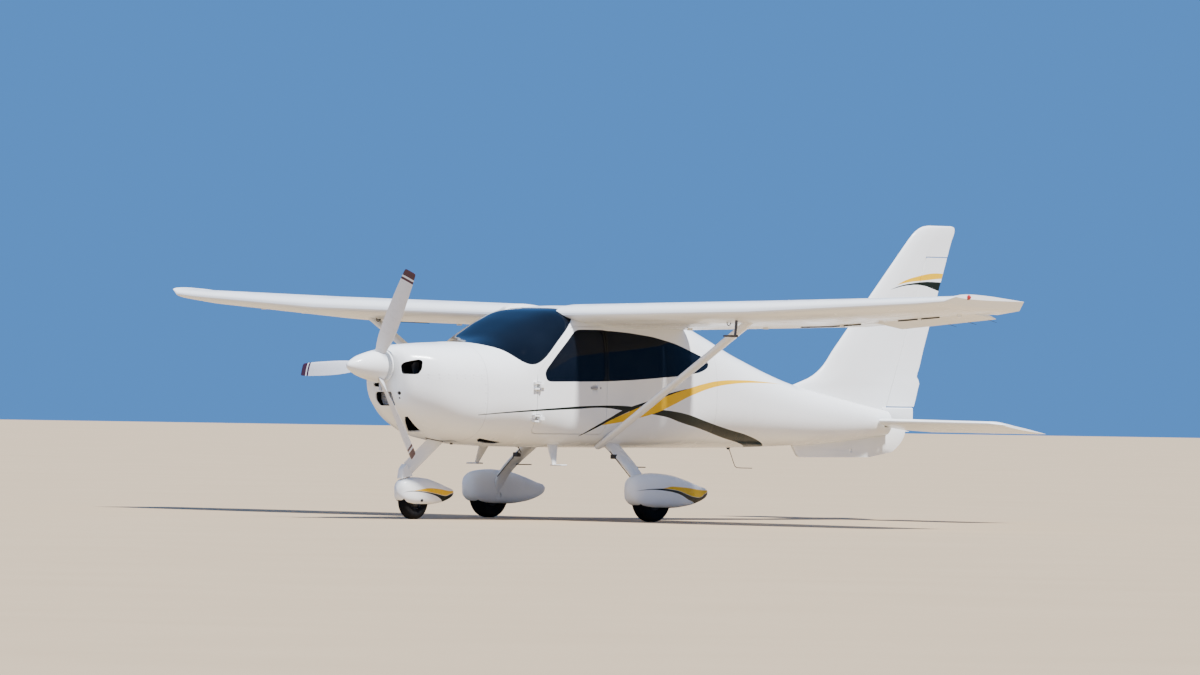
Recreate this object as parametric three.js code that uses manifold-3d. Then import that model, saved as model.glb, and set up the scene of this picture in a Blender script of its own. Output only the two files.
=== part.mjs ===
// A two-seat, high-wing, strut-braced light aircraft with a fixed nose-wheel gear.
// Millimetres, +Z up, nose towards -Y, the aircraft's left (port) side towards +X.
// "Aft" is a distance behind the spinner's tip, "out" a distance from the middle plane.

import * as THREE from 'three';
import { mergeVertices } from 'three/addons/utils/BufferGeometryUtils.js';
import Module from 'manifold-3d';

const wasm = await Module();
wasm.setup();

// Driving dimensions
const LENGTH = 6970;
const HALF_SPAN = 4510;
const GAP = 0.4;
const MOVE_GAP = 6;
const WALL = 30;
const FLOOR = 40;
const SKIN = 12;
const CEILING = 1600;

const FIREWALL = 1070;
const BULKHEAD = 3700;
const TAIL_END = 6165;
const PLATE = 20;

const SHAFT_HEIGHT = 1220;
const SPINNER_RADIUS = 132;
const SPINNER_LENGTH = 390;
const SPINNER_SHOULDER = 330;
const PROP_RADIUS = 850;
const BLADE_ANGLES = [62.6, 182.6, 302.6];

const NOSE_WHEEL = { aft: 746, out: 0, radius: 142, width: 92, bore: 64 };
const MAIN_WHEEL = { aft: 2497, out: 937, radius: 180, width: 125, bore: 84 };
const AXLE_RADIUS = 16;

// Airframe sections: aft, low and high edge, half width, height of the widest line, squareness
const BODY = [
  [402, 935, 1354, 150, 1190, 2.1],
  [445, 876, 1374, 242, 1145, 2.35],
  [520, 825, 1390, 300, 1120, 2.5],
  [680, 735, 1402, 405, 1080, 2.6],
  [870, 655, 1412, 460, 1040, 2.7],
  [1070, 620, 1420, 508, 1010, 2.8],
  [1210, 602, 1432, 538, 1010, 2.6],
  [1380, 594, 1466, 570, 1005, 2.6],
  [1540, 588, 1536, 592, 1000, 2.9],
  [1760, 586, 1634, 598, 1000, 3.4],
  [1980, 585, 1700, 600, 1000, 4.0],
  [2450, 585, 1730, 600, 1000, 4.0],
  [3000, 585, 1712, 590, 1010, 3.8],
  [3360, 585, 1655, 545, 1020, 3.3],
  [3700, 587, 1546, 475, 1020, 2.8],
  [4200, 592, 1358, 385, 960, 2.5],
  [4950, 612, 1128, 270, 880, 2.3],
  [5520, 645, 1020, 190, 840, 2.2],
  [6020, 690, 935, 112, 815, 2.0],
  [6165, 705, 912, 84, 812, 2.0],
].map(([aft, low, high, half, wide, power]) => ({ aft, low, high, half, wide, power }));
const BODY_SIDES = 24;

// Wing sections: out, leading and trailing edge, height of the leading edge, incidence in degrees,
// thickness over chord
const WING = [
  [330, 1975, 3340, 1650, 4.3, 0.125],
  [2500, 1975, 3340, 1695, 4.3, 0.125],
  [4150, 2180, 3110, 1775, 4.8, 0.115],
  [4420, 2214, 3075, 1794, 4.3, 0.1],
  [HALF_SPAN, 2260, 3030, 1831, 2.3, 0.05],
].map(([out, lead, trail, height, pitch, thick]) => ({ out, lead, trail, height, pitch, thick }));
const FLAP = { from: 640, to: 2890, aft: [2985, 2985], low: -18, pocket: 16, nose: 0 };
const AILERON = { from: 2950, to: 4150, aft: [2950, 2870], low: 8, pocket: 22, nose: 9 };
const AILERON_SET = THREE.MathUtils.degToRad(8);

// Stabilator sections: out, leading and trailing edge, thickness over chord
const STABILATOR = [
  [134, 5950, 6600, 0.11],
  [1340, 5985, 6598, 0.1],
  [1450, 6075, 6580, 0.04],
].map(([out, lead, trail, thick]) => ({ out, lead, trail, thick }));
const STAB_PIVOT = { aft: 6112, height: 806, tube: 21, reach: 300 };
const STAB_DROOP = 8;
const TAB = { from: 150, to: 860, aft: 6480 };

// Fin and rudder sections: height, leading and trailing edge, thickness
const FIN = [
  [880, 5000, 6480, 90],
  [970, 5020, 6516, 90],
  [1110, 5050, 6560, 90],
  [1150, 5185, 6572, 92],
  [1195, 5300, 6538, 92],
  [1270, 5410, 6566, 92],
  [1420, 5545, 6612, 92],
  [2310, 6390, 6925, 58],
  [2415, 6505, LENGTH, 46],
  [2458, 6640, LENGTH - 38, 18],
].map(([height, lead, trail, thick]) => ({ height, lead, trail, thick }));
const RUDDER = { low: 940, high: 2200, aft: [6173, 6627] };

// Side outlines as aft, height
const WINDSHIELD = [
  [1100, 1422], [1165, 1420], [1250, 1393], [1321, 1363], [1381, 1308], [1444, 1261], [1512, 1246],
  [1582, 1263], [1660, 1312], [1814, 1450], [1959, 1572], [2048, 1637], [2070, 1669], [2070, 1800],
  [1000, 1800], [1000, 1500],
];
const DOOR = [
  [1545, 735], [1570, 700], [2290, 700], [2312, 730], [2312, 1558], [1975, 1558], [1560, 1192], [1545, 1160],
];
const DOOR_WINDOW = [
  [1640, 1128], [1674, 1114], [2292, 1122], [2292, 1536], [2030, 1536], [1972, 1512], [1764, 1329], [1622, 1192],
];
const REAR_WINDOW = [
  [2336, 1124], [2640, 1138], [3200, 1176], [3450, 1204], [3570, 1240], [3590, 1270],
  [3560, 1306], [3500, 1332], [3137, 1434], [2872, 1487], [2599, 1516], [2336, 1532],
];
const GLASS = { outer: 4, inner: 10 };
const DOOR_HINGE = {
  aft: 1562, out: 612, pin: 6, heights: [820, 1080], length: 60, bore: 80,
  knuckle: { radius: 13, half: 14 },
  arm: { in: 572, from: 1500, past: 5, low: 15, high: 30 },
  leaf: { ahead: 4, to: 1610 },
  recess: { half: 60, from: 1500, to: 1580, low: 770, high: 1130 },
};
const SIDE_WALL = { in: 380, out: 700 };

// Wheel covers: fraction of the length, half width, low and high edge, each as a fraction
const PANT_FORM = [
  [0.0, 0.22, 0.38, 0.66],
  [0.035, 0.62, 0.18, 0.86],
  [0.12, 0.88, 0.05, 0.96],
  [0.29, 1.0, 0.0, 1.0],
  [0.48, 0.92, 0.0, 0.95],
  [0.7, 0.63, 0.06, 0.78],
  [0.88, 0.34, 0.17, 0.58],
  [1.0, 0.08, 0.3, 0.47],
].map(([along, half, low, high]) => ({ along, half, low, high }));
const PANT_SIDES = 16;
const PANT_SQUARENESS = { upper: 0.85, lower: 0.55 };
const MAIN_PANT = { from: 2236, to: 3135, half: 122, low: 112, high: 392, skin: 8 };
const NOSE_PANT = { from: 568, to: 1192, half: 88, low: 118, high: 336, skin: 8 };

const paint = { color: 0xf3f3ef, roughness: 0.28, metalness: 0 };
const FINISH = {
  white: new THREE.MeshStandardMaterial(paint),
  glass: new THREE.MeshStandardMaterial({ color: 0x15181a, roughness: 0.06, metalness: 0 }),
  blade: new THREE.MeshStandardMaterial({ color: 0xd9d9d6, roughness: 0.35, metalness: 0 }),
  steel: new THREE.MeshStandardMaterial({ color: 0x8d8f92, roughness: 0.4, metalness: 0.9 }),
  alloy: new THREE.MeshStandardMaterial({ color: 0xb4b6b8, roughness: 0.35, metalness: 0.9 }),
  black: new THREE.MeshStandardMaterial({ color: 0x1b1b1c, roughness: 0.7, metalness: 0 }),
  rubber: new THREE.MeshStandardMaterial({ color: 0x1a1a1a, roughness: 0.9, metalness: 0 }),
  leather: new THREE.MeshStandardMaterial({ color: 0x3a322c, roughness: 0.6, metalness: 0 }),
};

const aircraft = new THREE.Group();

// Point from out, aft and height
const at = (x, aft, z) => new THREE.Vector3(x, aft - LENGTH / 2, z);
const mix = (a, b, t) => a + (b - a) * t;
const UP = new THREE.Vector3(0, 0, 1);
const ACROSS = new THREE.Vector3(1, 0, 0);

// Closed mesh with shared corners as a solid that can be joined and cut
function solid(geometry) {
  const bare = geometry.clone();
  bare.deleteAttribute('normal');
  bare.deleteAttribute('uv');
  const merged = mergeVertices(bare, 1e-4);
  const index = merged.index.array;
  const triangles = [];
  for (let i = 0; i < index.length; i += 3) {
    const [a, b, c] = [index[i], index[i + 1], index[i + 2]];
    if (a !== b && b !== c && c !== a) triangles.push(a, b, c);
  }
  const vertProperties = new Float32Array(merged.attributes.position.array);
  return new wasm.Manifold(new wasm.Mesh({ numProp: 3, vertProperties, triVerts: new Uint32Array(triangles) }));
}

function add(name, shape, finish, parent = aircraft) {
  const { vertProperties, triVerts } = shape.getMesh();
  const geometry = new THREE.BufferGeometry();
  geometry.setAttribute('position', new THREE.BufferAttribute(new Float32Array(vertProperties), 3));
  geometry.setIndex(new THREE.BufferAttribute(new Uint32Array(triVerts), 1));
  geometry.computeVertexNormals();
  const mesh = new THREE.Mesh(geometry, finish);
  mesh.name = name;
  parent.add(mesh);
  return mesh;
}

// Skin through rings of equal count, each end closed by a fan about its middle
function loft(rings) {
  const count = rings[0].length;
  const points = rings.flat();
  const faces = [];
  for (let r = 0; r < rings.length - 1; r++) {
    for (let i = 0; i < count; i++) {
      const a = r * count + i;
      const b = r * count + (i + 1) % count;
      faces.push(a, b, b + count, a, b + count, a + count);
    }
  }
  for (const [ring, flip] of [[0, true], [rings.length - 1, false]]) {
    const middle = new THREE.Vector3();
    rings[ring].forEach((point) => middle.addScaledVector(point, 1 / count));
    const hub = points.push(middle) - 1;
    for (let i = 0; i < count; i++) {
      const a = ring * count + i;
      const b = ring * count + (i + 1) % count;
      faces.push(...(flip ? [hub, b, a] : [hub, a, b]));
    }
  }
  let volume = 0;
  for (let i = 0; i < faces.length; i += 3) {
    const [a, b, c] = [points[faces[i]], points[faces[i + 1]], points[faces[i + 2]]];
    volume += a.dot(new THREE.Vector3().crossVectors(b, c));
  }
  if (volume < 0) faces.reverse();
  const geometry = new THREE.BufferGeometry().setFromPoints(points);
  geometry.setIndex(faces);
  return solid(geometry);
}

function box(x0, x1, aft0, aft1, z0, z1) {
  const geometry = new THREE.BoxGeometry(x1 - x0, aft1 - aft0, z1 - z0);
  const middle = at((x0 + x1) / 2, (aft0 + aft1) / 2, (z0 + z1) / 2);
  return solid(geometry.translate(middle.x, middle.y, middle.z));
}

// Round bar between two points
function bar(from, to, radius, sides = 16, endRadius = radius) {
  const span = new THREE.Vector3().subVectors(to, from);
  const geometry = new THREE.CylinderGeometry(endRadius, radius, span.length(), sides);
  const turn = new THREE.Quaternion().setFromUnitVectors(new THREE.Vector3(0, 1, 0), span.clone().normalize());
  geometry.applyQuaternion(turn);
  const middle = from.clone().addScaledVector(span, 0.5);
  return solid(geometry.translate(middle.x, middle.y, middle.z));
}

// Side outline of aft and height, drawn out across the aircraft from x0 to x1
function sidePrism(outline, x0, x1) {
  const shape = new THREE.Shape(outline.map(([aft, z]) => new THREE.Vector2(aft - LENGTH / 2, z)));
  const geometry = new THREE.ExtrudeGeometry(shape, { depth: x1 - x0, bevelEnabled: false });
  const basis = new THREE.Matrix4().makeBasis(
    new THREE.Vector3(0, 1, 0), new THREE.Vector3(0, 0, 1), new THREE.Vector3(1, 0, 0));
  geometry.applyMatrix4(basis);
  return solid(geometry.translate(x0, 0, 0));
}

// Outline moved outwards by a distance, its corners mitred
function grown(outline, distance) {
  const points = outline.map(([u, v]) => new THREE.Vector2(u, v));
  const turn = THREE.ShapeUtils.isClockWise(points) ? -1 : 1;
  return points.map((point, i) => {
    const before = points[(i + points.length - 1) % points.length];
    const after = points[(i + 1) % points.length];
    const n1 = new THREE.Vector2(point.y - before.y, before.x - point.x).normalize();
    const n2 = new THREE.Vector2(after.y - point.y, point.x - after.x).normalize();
    const reach = distance * turn / (1 + n1.dot(n2));
    return [point.x + (n1.x + n2.x) * reach, point.y + (n1.y + n2.y) * reach];
  });
}

// Airframe skin

function stationAt(aft) {
  const last = BODY.findIndex((station) => station.aft >= aft);
  const a = BODY[Math.max(last - 1, 0)];
  const b = BODY[last];
  const t = a === b ? 0 : (aft - a.aft) / (b.aft - a.aft);
  return Object.fromEntries(Object.keys(a).map((key) => [key, mix(a[key], b[key], t)]));
}

function bodyRing({ aft, low, high, half, wide, power }, inset, floor, ceiling) {
  const ring = [];
  const top = Math.min(high - inset, ceiling);
  const bottom = low + floor;
  for (let i = 0; i < BODY_SIDES; i++) {
    const angle = i / BODY_SIDES * 2 * Math.PI;
    const [c, s] = [Math.cos(angle), Math.sin(angle)];
    const x = (half - inset) * Math.sign(c) * Math.abs(c) ** (2 / power);
    const reach = s > 0 ? top - wide : wide - bottom;
    ring.push(at(x, aft, wide + reach * Math.sign(s) * Math.abs(s) ** (2 / power)));
  }
  return ring;
}

function body(from, to, inset = 0, floor = inset, ceiling = Infinity) {
  const inside = BODY.filter((station) => station.aft > from + 1 && station.aft < to - 1);
  const stations = [stationAt(from), ...inside, stationAt(to)];
  return loft(stations.map((station) => bodyRing(station, inset, floor, ceiling)));
}

const BODY_FRONT = BODY[0].aft;
const bodyGuard = body(BODY_FRONT, TAIL_END, -GAP);

// Aerofoil as chord fraction and half thickness, both over the chord at a thickness of 1
const FOIL = [
  [0, 0], [0.02, 0.2], [0.09, 0.38], [0.25, 0.5], [0.45, 0.46], [0.7, 0.27], [1, 0.02],
].map(([along, half]) => ({ along, half }));

// Ring of an aerofoil, its upper side deeper than its lower by the lift fraction
function foilRing(lead, trail, thick, lift, place) {
  const chord = trail - lead;
  const upper = FOIL.map(({ along, half }) => place(lead + along * chord, half * thick * chord * (1 + lift)));
  const lower = FOIL.slice(1).reverse().map(
    ({ along, half }) => place(lead + along * chord, -half * thick * chord * (1 - lift)));
  return [...upper, ...lower];
}

const chordHeight = ({ lead, height, pitch }, aft) => (
  height - (aft - lead) * Math.sin(THREE.MathUtils.degToRad(pitch)));

function wingLoft(side, growth = 0) {
  return loft(WING.map((section) => {
    const { out, lead, trail, thick } = section;
    return foilRing(lead - growth, trail + growth, thick + 2 * growth / (trail - lead), 0.33,
      (aft, up) => at(side * out, aft, chordHeight(section, aft) + up));
  }));
}

function wingAt(out) {
  const last = WING.findIndex((section) => section.out >= out);
  const [a, b] = [WING[last - 1], WING[last]];
  const t = (out - a.out) / (b.out - a.out);
  return Object.fromEntries(Object.keys(a).map((key) => [key, mix(a[key], b[key], t)]));
}

// Hinged control surface on the trailing side of a wing, fin or stabilator.
// The prism's section lies in aft and across, with its ends at two hinge points.
function hingePrism(ends, reach, across, nose, faceHalf) {
  const tall = 400;
  const section = nose > 0
    ? [[-nose, 0], [0, -faceHalf], [0, -tall], [reach, -tall], [reach, tall], [0, tall], [0, faceHalf]]
    : [[0, -tall], [reach, -tall], [reach, tall], [0, tall]];
  return loft(ends.map((end) => section.map(([u, v]) => (
    end.clone().add(new THREE.Vector3(0, u, 0)).addScaledVector(across, v)))));
}

// Wings with flaps and ailerons

const HINGE_PIN = { radius: 6, length: 26 };
const SURFACE_END_GAP = 12;
const NOSE_FACE = 44;
const PAST_EDGE = 900;

function wingHinge(side, surface) {
  return [surface.from, surface.to].map((out, i) => (
    at(side * out, surface.aft[i], chordHeight(wingAt(out), surface.aft[i]) + surface.low)));
}

function shifted(points, x, aft, z) {
  return points.map((point) => point.clone().add(new THREE.Vector3(x, aft, z)));
}

function drawnIn(ends, distance) {
  const along = new THREE.Vector3().subVectors(ends[1], ends[0]).normalize();
  return [ends[0].clone().addScaledVector(along, distance), ends[1].clone().addScaledVector(along, -distance)];
}

// Pins that stand out from the ribs into a surface, along its hinge line
function hingePins(ends, radius, depth) {
  const along = new THREE.Vector3().subVectors(ends[1], ends[0]).normalize();
  const inner = (end, way) => bar(
    end.clone().addScaledVector(along, -way * 4), end.clone().addScaledVector(along, way * depth), radius, 10);
  return inner(ends[0], 1).add(inner(ends[1], -1));
}

// Turns a mesh, built where its hinge is straight, about that hinge
function setAbout(mesh, ends, angle) {
  const axis = new THREE.Vector3().subVectors(ends[1], ends[0]).normalize();
  mesh.geometry.translate(-ends[0].x, -ends[0].y, -ends[0].z);
  mesh.position.copy(ends[0]);
  mesh.quaternion.setFromAxisAngle(axis, angle);
}

// The ailerons stand as parked with the stick to one side: left down, right up
function buildWing(side, word) {
  const whole = wingLoft(side).subtract(bodyGuard);
  let wing = whole;
  for (const [name, surface, set] of [['flap', FLAP, 0], ['aileron', AILERON, -AILERON_SET]]) {
    const ends = wingHinge(side, surface);
    const pocket = hingePrism(shifted(ends, 0, -surface.pocket, 0), PAST_EDGE, UP, 0, 0);
    wing = wing.subtract(pocket).add(hingePins(ends, HINGE_PIN.radius, HINGE_PIN.length));
    const cut = hingePrism(drawnIn(ends, SURFACE_END_GAP), PAST_EDGE, UP, surface.nose, NOSE_FACE);
    const bore = hingePins(ends, HINGE_PIN.radius + GAP, HINGE_PIN.length + 1);
    setAbout(add(`${name}_${word}`, whole.intersect(cut).subtract(bore), FINISH.white), ends, set);
  }
  add(`wing_${word}`, wing, FINISH.white);
}

// Wing struts of streamlined section

const STRUT = {
  low: { out: 452, aft: 2378, height: 592, chord: 100 },
  high: { out: 2215, aft: 2350, height: 1640, chord: 118 },
  thick: 0.4,
};

function buildStrut(side, word) {
  const across = new THREE.Vector3(-side * (STRUT.high.height - STRUT.low.height), 0,
    STRUT.high.out - STRUT.low.out).normalize();
  const rings = [STRUT.low, STRUT.high].map(({ out, aft, height, chord }) => foilRing(
    aft - chord / 2, aft + chord / 2, STRUT.thick, 0,
    (place, up) => at(side * out, place, height).addScaledVector(across, up)));
  add(`strut_${word}`, loft(rings).subtract(bodyGuard).subtract(wingLoft(side, GAP)), FINISH.white);
}

// Cabin, doors and glass

const glassBand = body(FIREWALL + 1, BULKHEAD - 1, GLASS.outer)
  .subtract(body(FIREWALL, BULKHEAD, GLASS.inner));
const cabinWalls = body(FIREWALL, BULKHEAD)
  .subtract(body(FIREWALL + PLATE, BULKHEAD - PLATE, WALL, FLOOR, CEILING));

function doorHinges(side, radius, half) {
  const parts = DOOR_HINGE.heights.map((height) => bar(
    at(side * DOOR_HINGE.out, DOOR_HINGE.aft, height - half),
    at(side * DOOR_HINGE.out, DOOR_HINGE.aft, height + half), radius, 10));
  return parts[0].add(parts[1]);
}

function buildCabin() {
  const across = (outline) => sidePrism(outline, -SIDE_WALL.out, SIDE_WALL.out);
  const { aft, out, pin, length, bore, knuckle, arm, leaf, recess } = DOOR_HINGE;
  let shell = cabinWalls.subtract(across(grown(WINDSHIELD, GAP)));
  for (const [side, word] of [[1, 'left'], [-1, 'right']]) {
    const [x0, x1] = side > 0 ? [SIDE_WALL.in, SIDE_WALL.out] : [-SIDE_WALL.out, -SIDE_WALL.in];
    const slab = (outline) => sidePrism(outline, x0, x1);
    const [a, b] = [side * arm.in, side * (out - 4)].sort((p, q) => p - q);
    const plates = DOOR_HINGE.heights.map((height) => box(
      a, b, aft - leaf.ahead, leaf.to, height - knuckle.half, height + knuckle.half));
    const arms = DOOR_HINGE.heights.map((height) => (
      box(a, b, arm.from, aft + arm.past, height + arm.low, height + arm.high)
        .add(box(a, b, arm.from, aft + arm.past, height - arm.high, height - arm.low))));
    const clearance = arms[0].add(arms[1]).add(doorHinges(side, pin, length / 2));
    const door = cabinWalls.intersect(slab(DOOR)).subtract(slab(grown(DOOR_WINDOW, GAP)))
      .subtract(box(side * out - recess.half, side * out + recess.half, recess.from, recess.to,
        recess.low, recess.high))
      .add(plates[0]).add(plates[1]).add(doorHinges(side, knuckle.radius, knuckle.half))
      .subtract(doorHinges(side, pin + GAP, bore / 2));
    add(`door_${word}`, door, FINISH.white);
    add(`door_glass_${word}`, glassBand.intersect(slab(DOOR_WINDOW)), FINISH.glass);
    add(`rear_window_${word}`, glassBand.intersect(slab(REAR_WINDOW)), FINISH.glass);
    shell = shell.subtract(slab(grown(DOOR, MOVE_GAP))).subtract(slab(grown(REAR_WINDOW, GAP))).add(clearance);
  }
  add('cabin_shell', shell, FINISH.white);
  add('windshield', glassBand.intersect(across(WINDSHIELD)), FINISH.glass);
}

// Cowl, engine and propeller

const COWL = { split: 1150, front: 402, face: 14, past: 20, shaftHole: 62 };
const CHEEK_INLET = { from: 168, to: 300, low: 1158, high: 1274, depth: 560 };
const CHIN_INLET = { half: 92, low: 905, high: 1016, depth: 500 };
const SLOT_INLET = { half: 52, low: 1062, high: 1082, depth: 470 };
const SIDE_INLET = { from: 60, to: 190, low: 690, high: 800, front: 540, back: 700 };
const COWL_EXIT = { half: 170, front: 990, low: 560, high: 700 };
const ENGINE = { half: 205, front: 540, low: 905, high: 1300, shaft: 38 };
const RADIATOR = { half: 118, front: 470, low: 915, high: 1032 };
const AHEAD = 300;

function buildCowl() {
  let shell = body(COWL.front, FIREWALL - GAP)
    .subtract(body(COWL.front + COWL.face, FIREWALL + COWL.past, SKIN))
    .subtract(bar(at(0, AHEAD, SHAFT_HEIGHT), at(0, COWL.front + 2 * COWL.face, SHAFT_HEIGHT), COWL.shaftHole, 24))
    .subtract(box(-CHIN_INLET.half, CHIN_INLET.half, AHEAD, CHIN_INLET.depth, CHIN_INLET.low, CHIN_INLET.high))
    .subtract(box(-SLOT_INLET.half, SLOT_INLET.half, AHEAD, SLOT_INLET.depth, SLOT_INLET.low, SLOT_INLET.high))
    .subtract(box(-COWL_EXIT.half, COWL_EXIT.half, COWL_EXIT.front, FIREWALL, COWL_EXIT.low, COWL_EXIT.high));
  for (const side of [-1, 1]) {
    const [a, b] = [side * CHEEK_INLET.from, side * CHEEK_INLET.to].sort((p, q) => p - q);
    shell = shell.subtract(box(a, b, AHEAD, CHEEK_INLET.depth, CHEEK_INLET.low, CHEEK_INLET.high));
  }
  shell = shell.subtract(box(
    SIDE_INLET.from, SIDE_INLET.to, SIDE_INLET.front, SIDE_INLET.back, SIDE_INLET.low, SIDE_INLET.high));
  const layer = (low, high) => box(-SIDE_WALL.out, SIDE_WALL.out, AHEAD, FIREWALL + COWL.past, low, high);
  const above = layer(COWL.split + GAP / 2, COWL.split + SIDE_WALL.out);
  const below = layer(COWL.split - SIDE_WALL.out, COWL.split - GAP / 2);
  add('cowl_upper', shell.intersect(above), FINISH.white);
  add('cowl_lower', shell.intersect(below), FINISH.white);

  const block = box(-ENGINE.half, ENGINE.half, ENGINE.front, FIREWALL - GAP, ENGINE.low, ENGINE.high)
    .add(bar(at(0, SPINNER_LENGTH - 20, SHAFT_HEIGHT), at(0, ENGINE.front + 5, SHAFT_HEIGHT), ENGINE.shaft, 24));
  add('engine_block', block, FINISH.steel);
  add('radiator', box(-RADIATOR.half, RADIATOR.half, RADIATOR.front, ENGINE.front - GAP,
    RADIATOR.low, RADIATOR.high), FINISH.alloy);
}

const BACKPLATE = 14;

// Blade sections: radius, chord, thickness, pitch in degrees
const BLADE = [
  [70, 70, 40, 62],
  [150, 94, 34, 55],
  [260, 124, 22, 43],
  [420, 134, 15, 33],
  [620, 126, 11, 25],
  [790, 112, 8, 20],
  [836, 104, 6, 19],
  [PROP_RADIUS, 78, 3, 18],
].map(([radius, chord, thick, pitch]) => ({ radius, chord, thick, pitch }));
const BLADE_LINE = 307;

function bladeLoft(degrees, growth = 0) {
  const angle = THREE.MathUtils.degToRad(degrees);
  const outward = new THREE.Vector3(Math.cos(angle), 0, Math.sin(angle));
  const sideways = new THREE.Vector3(-Math.sin(angle), 0, Math.cos(angle));
  const rings = BLADE.map(({ radius, chord, thick, pitch }) => {
    const turn = THREE.MathUtils.degToRad(pitch);
    const along = sideways.clone().multiplyScalar(Math.cos(turn)).add(new THREE.Vector3(0, -Math.sin(turn), 0));
    const across = new THREE.Vector3().crossVectors(outward, along);
    const centre = at(0, BLADE_LINE, SHAFT_HEIGHT).addScaledVector(outward, radius);
    return foilRing(-chord / 2 - growth, chord / 2 + growth, (thick + 2 * growth) / chord, 0.2,
      (place, up) => centre.clone().addScaledVector(along, place).addScaledVector(across, up));
  });
  return loft(rings);
}

function turned(profile, aft, height, segments) {
  const geometry = new THREE.LatheGeometry(profile.map(([r, along]) => new THREE.Vector2(r, along)), segments);
  const middle = at(0, aft, height);
  return solid(geometry.translate(middle.x, middle.y, middle.z));
}

function buildPropeller() {
  const cone = [
    [0, 0], [24, 12], [49, 50], [81, 119], [107, 210], [123, 280], [SPINNER_RADIUS, SPINNER_SHOULDER],
    [SPINNER_RADIUS, SPINNER_LENGTH - BACKPLATE - GAP],
  ];
  let spinner = turned([...cone, [0, SPINNER_LENGTH - BACKPLATE - GAP]], 0, SHAFT_HEIGHT, 24)
    .subtract(bar(at(0, AHEAD, SHAFT_HEIGHT), at(0, SPINNER_LENGTH, SHAFT_HEIGHT), ENGINE.shaft + GAP, 24));
  BLADE_ANGLES.forEach((degrees, i) => {
    spinner = spinner.subtract(bladeLoft(degrees, GAP));
    add(`blade_${i + 1}`, bladeLoft(degrees), FINISH.blade);
  });
  add('spinner', spinner, FINISH.white);
  const plate = bar(at(0, SPINNER_LENGTH - BACKPLATE, SHAFT_HEIGHT), at(0, SPINNER_LENGTH, SHAFT_HEIGHT),
    SPINNER_RADIUS, 24).subtract(bar(
    at(0, AHEAD, SHAFT_HEIGHT), at(0, SPINNER_LENGTH + COWL.face, SHAFT_HEIGHT), ENGINE.shaft + GAP, 24));
  add('propeller_backplate', plate, FINISH.alloy);
}

// Tail

function finLoft(growth = 0) {
  return loft(FIN.map(({ height, lead, trail, thick }) => {
    const chord = trail - lead;
    return foilRing(lead, trail, (thick + 2 * growth) / chord, 0, (aft, up) => at(up, aft, height));
  }));
}

function stabLoft(side, growth = 0) {
  const droop = THREE.MathUtils.degToRad(STAB_DROOP);
  return loft(STABILATOR.map(({ out, lead, trail, thick }) => {
    const chord = trail - lead;
    return foilRing(lead - growth, trail + growth, thick + 2 * growth / chord, 0, (aft, up) => {
      const u = aft - STAB_PIVOT.aft;
      return at(side * out, STAB_PIVOT.aft + u * Math.cos(droop) + up * Math.sin(droop),
        STAB_PIVOT.height - u * Math.sin(droop) + up * Math.cos(droop));
    });
  }));
}

function tabHinge(side) {
  const droop = THREE.MathUtils.degToRad(STAB_DROOP);
  const u = TAB.aft - STAB_PIVOT.aft;
  return [TAB.from, TAB.to].map((out) => (
    at(side * out, STAB_PIVOT.aft + u * Math.cos(droop), STAB_PIVOT.height - u * Math.sin(droop))));
}

const TAIL_FAIRING = { from: 6100, to: 6470, half: 34, low: 820, high: 938 };
const RUDDER_FACE = { nose: 8, half: 26, pocket: 20 };
const TAB_FACE = { nose: 5, half: 14, pocket: 12, pin: 4, depth: 30 };
const VENTRAL = { half: 11, tie: { aft: 5755, height: 580, radius: 17 } };
const VENTRAL_SIDE = [
  [5040, 640], [5130, 519], [5960, 523], [6250, 569], [6345, 640], [6395, 705], [6400, 760],
  [6120, 780], [5900, 800], [5200, 720],
];

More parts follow.
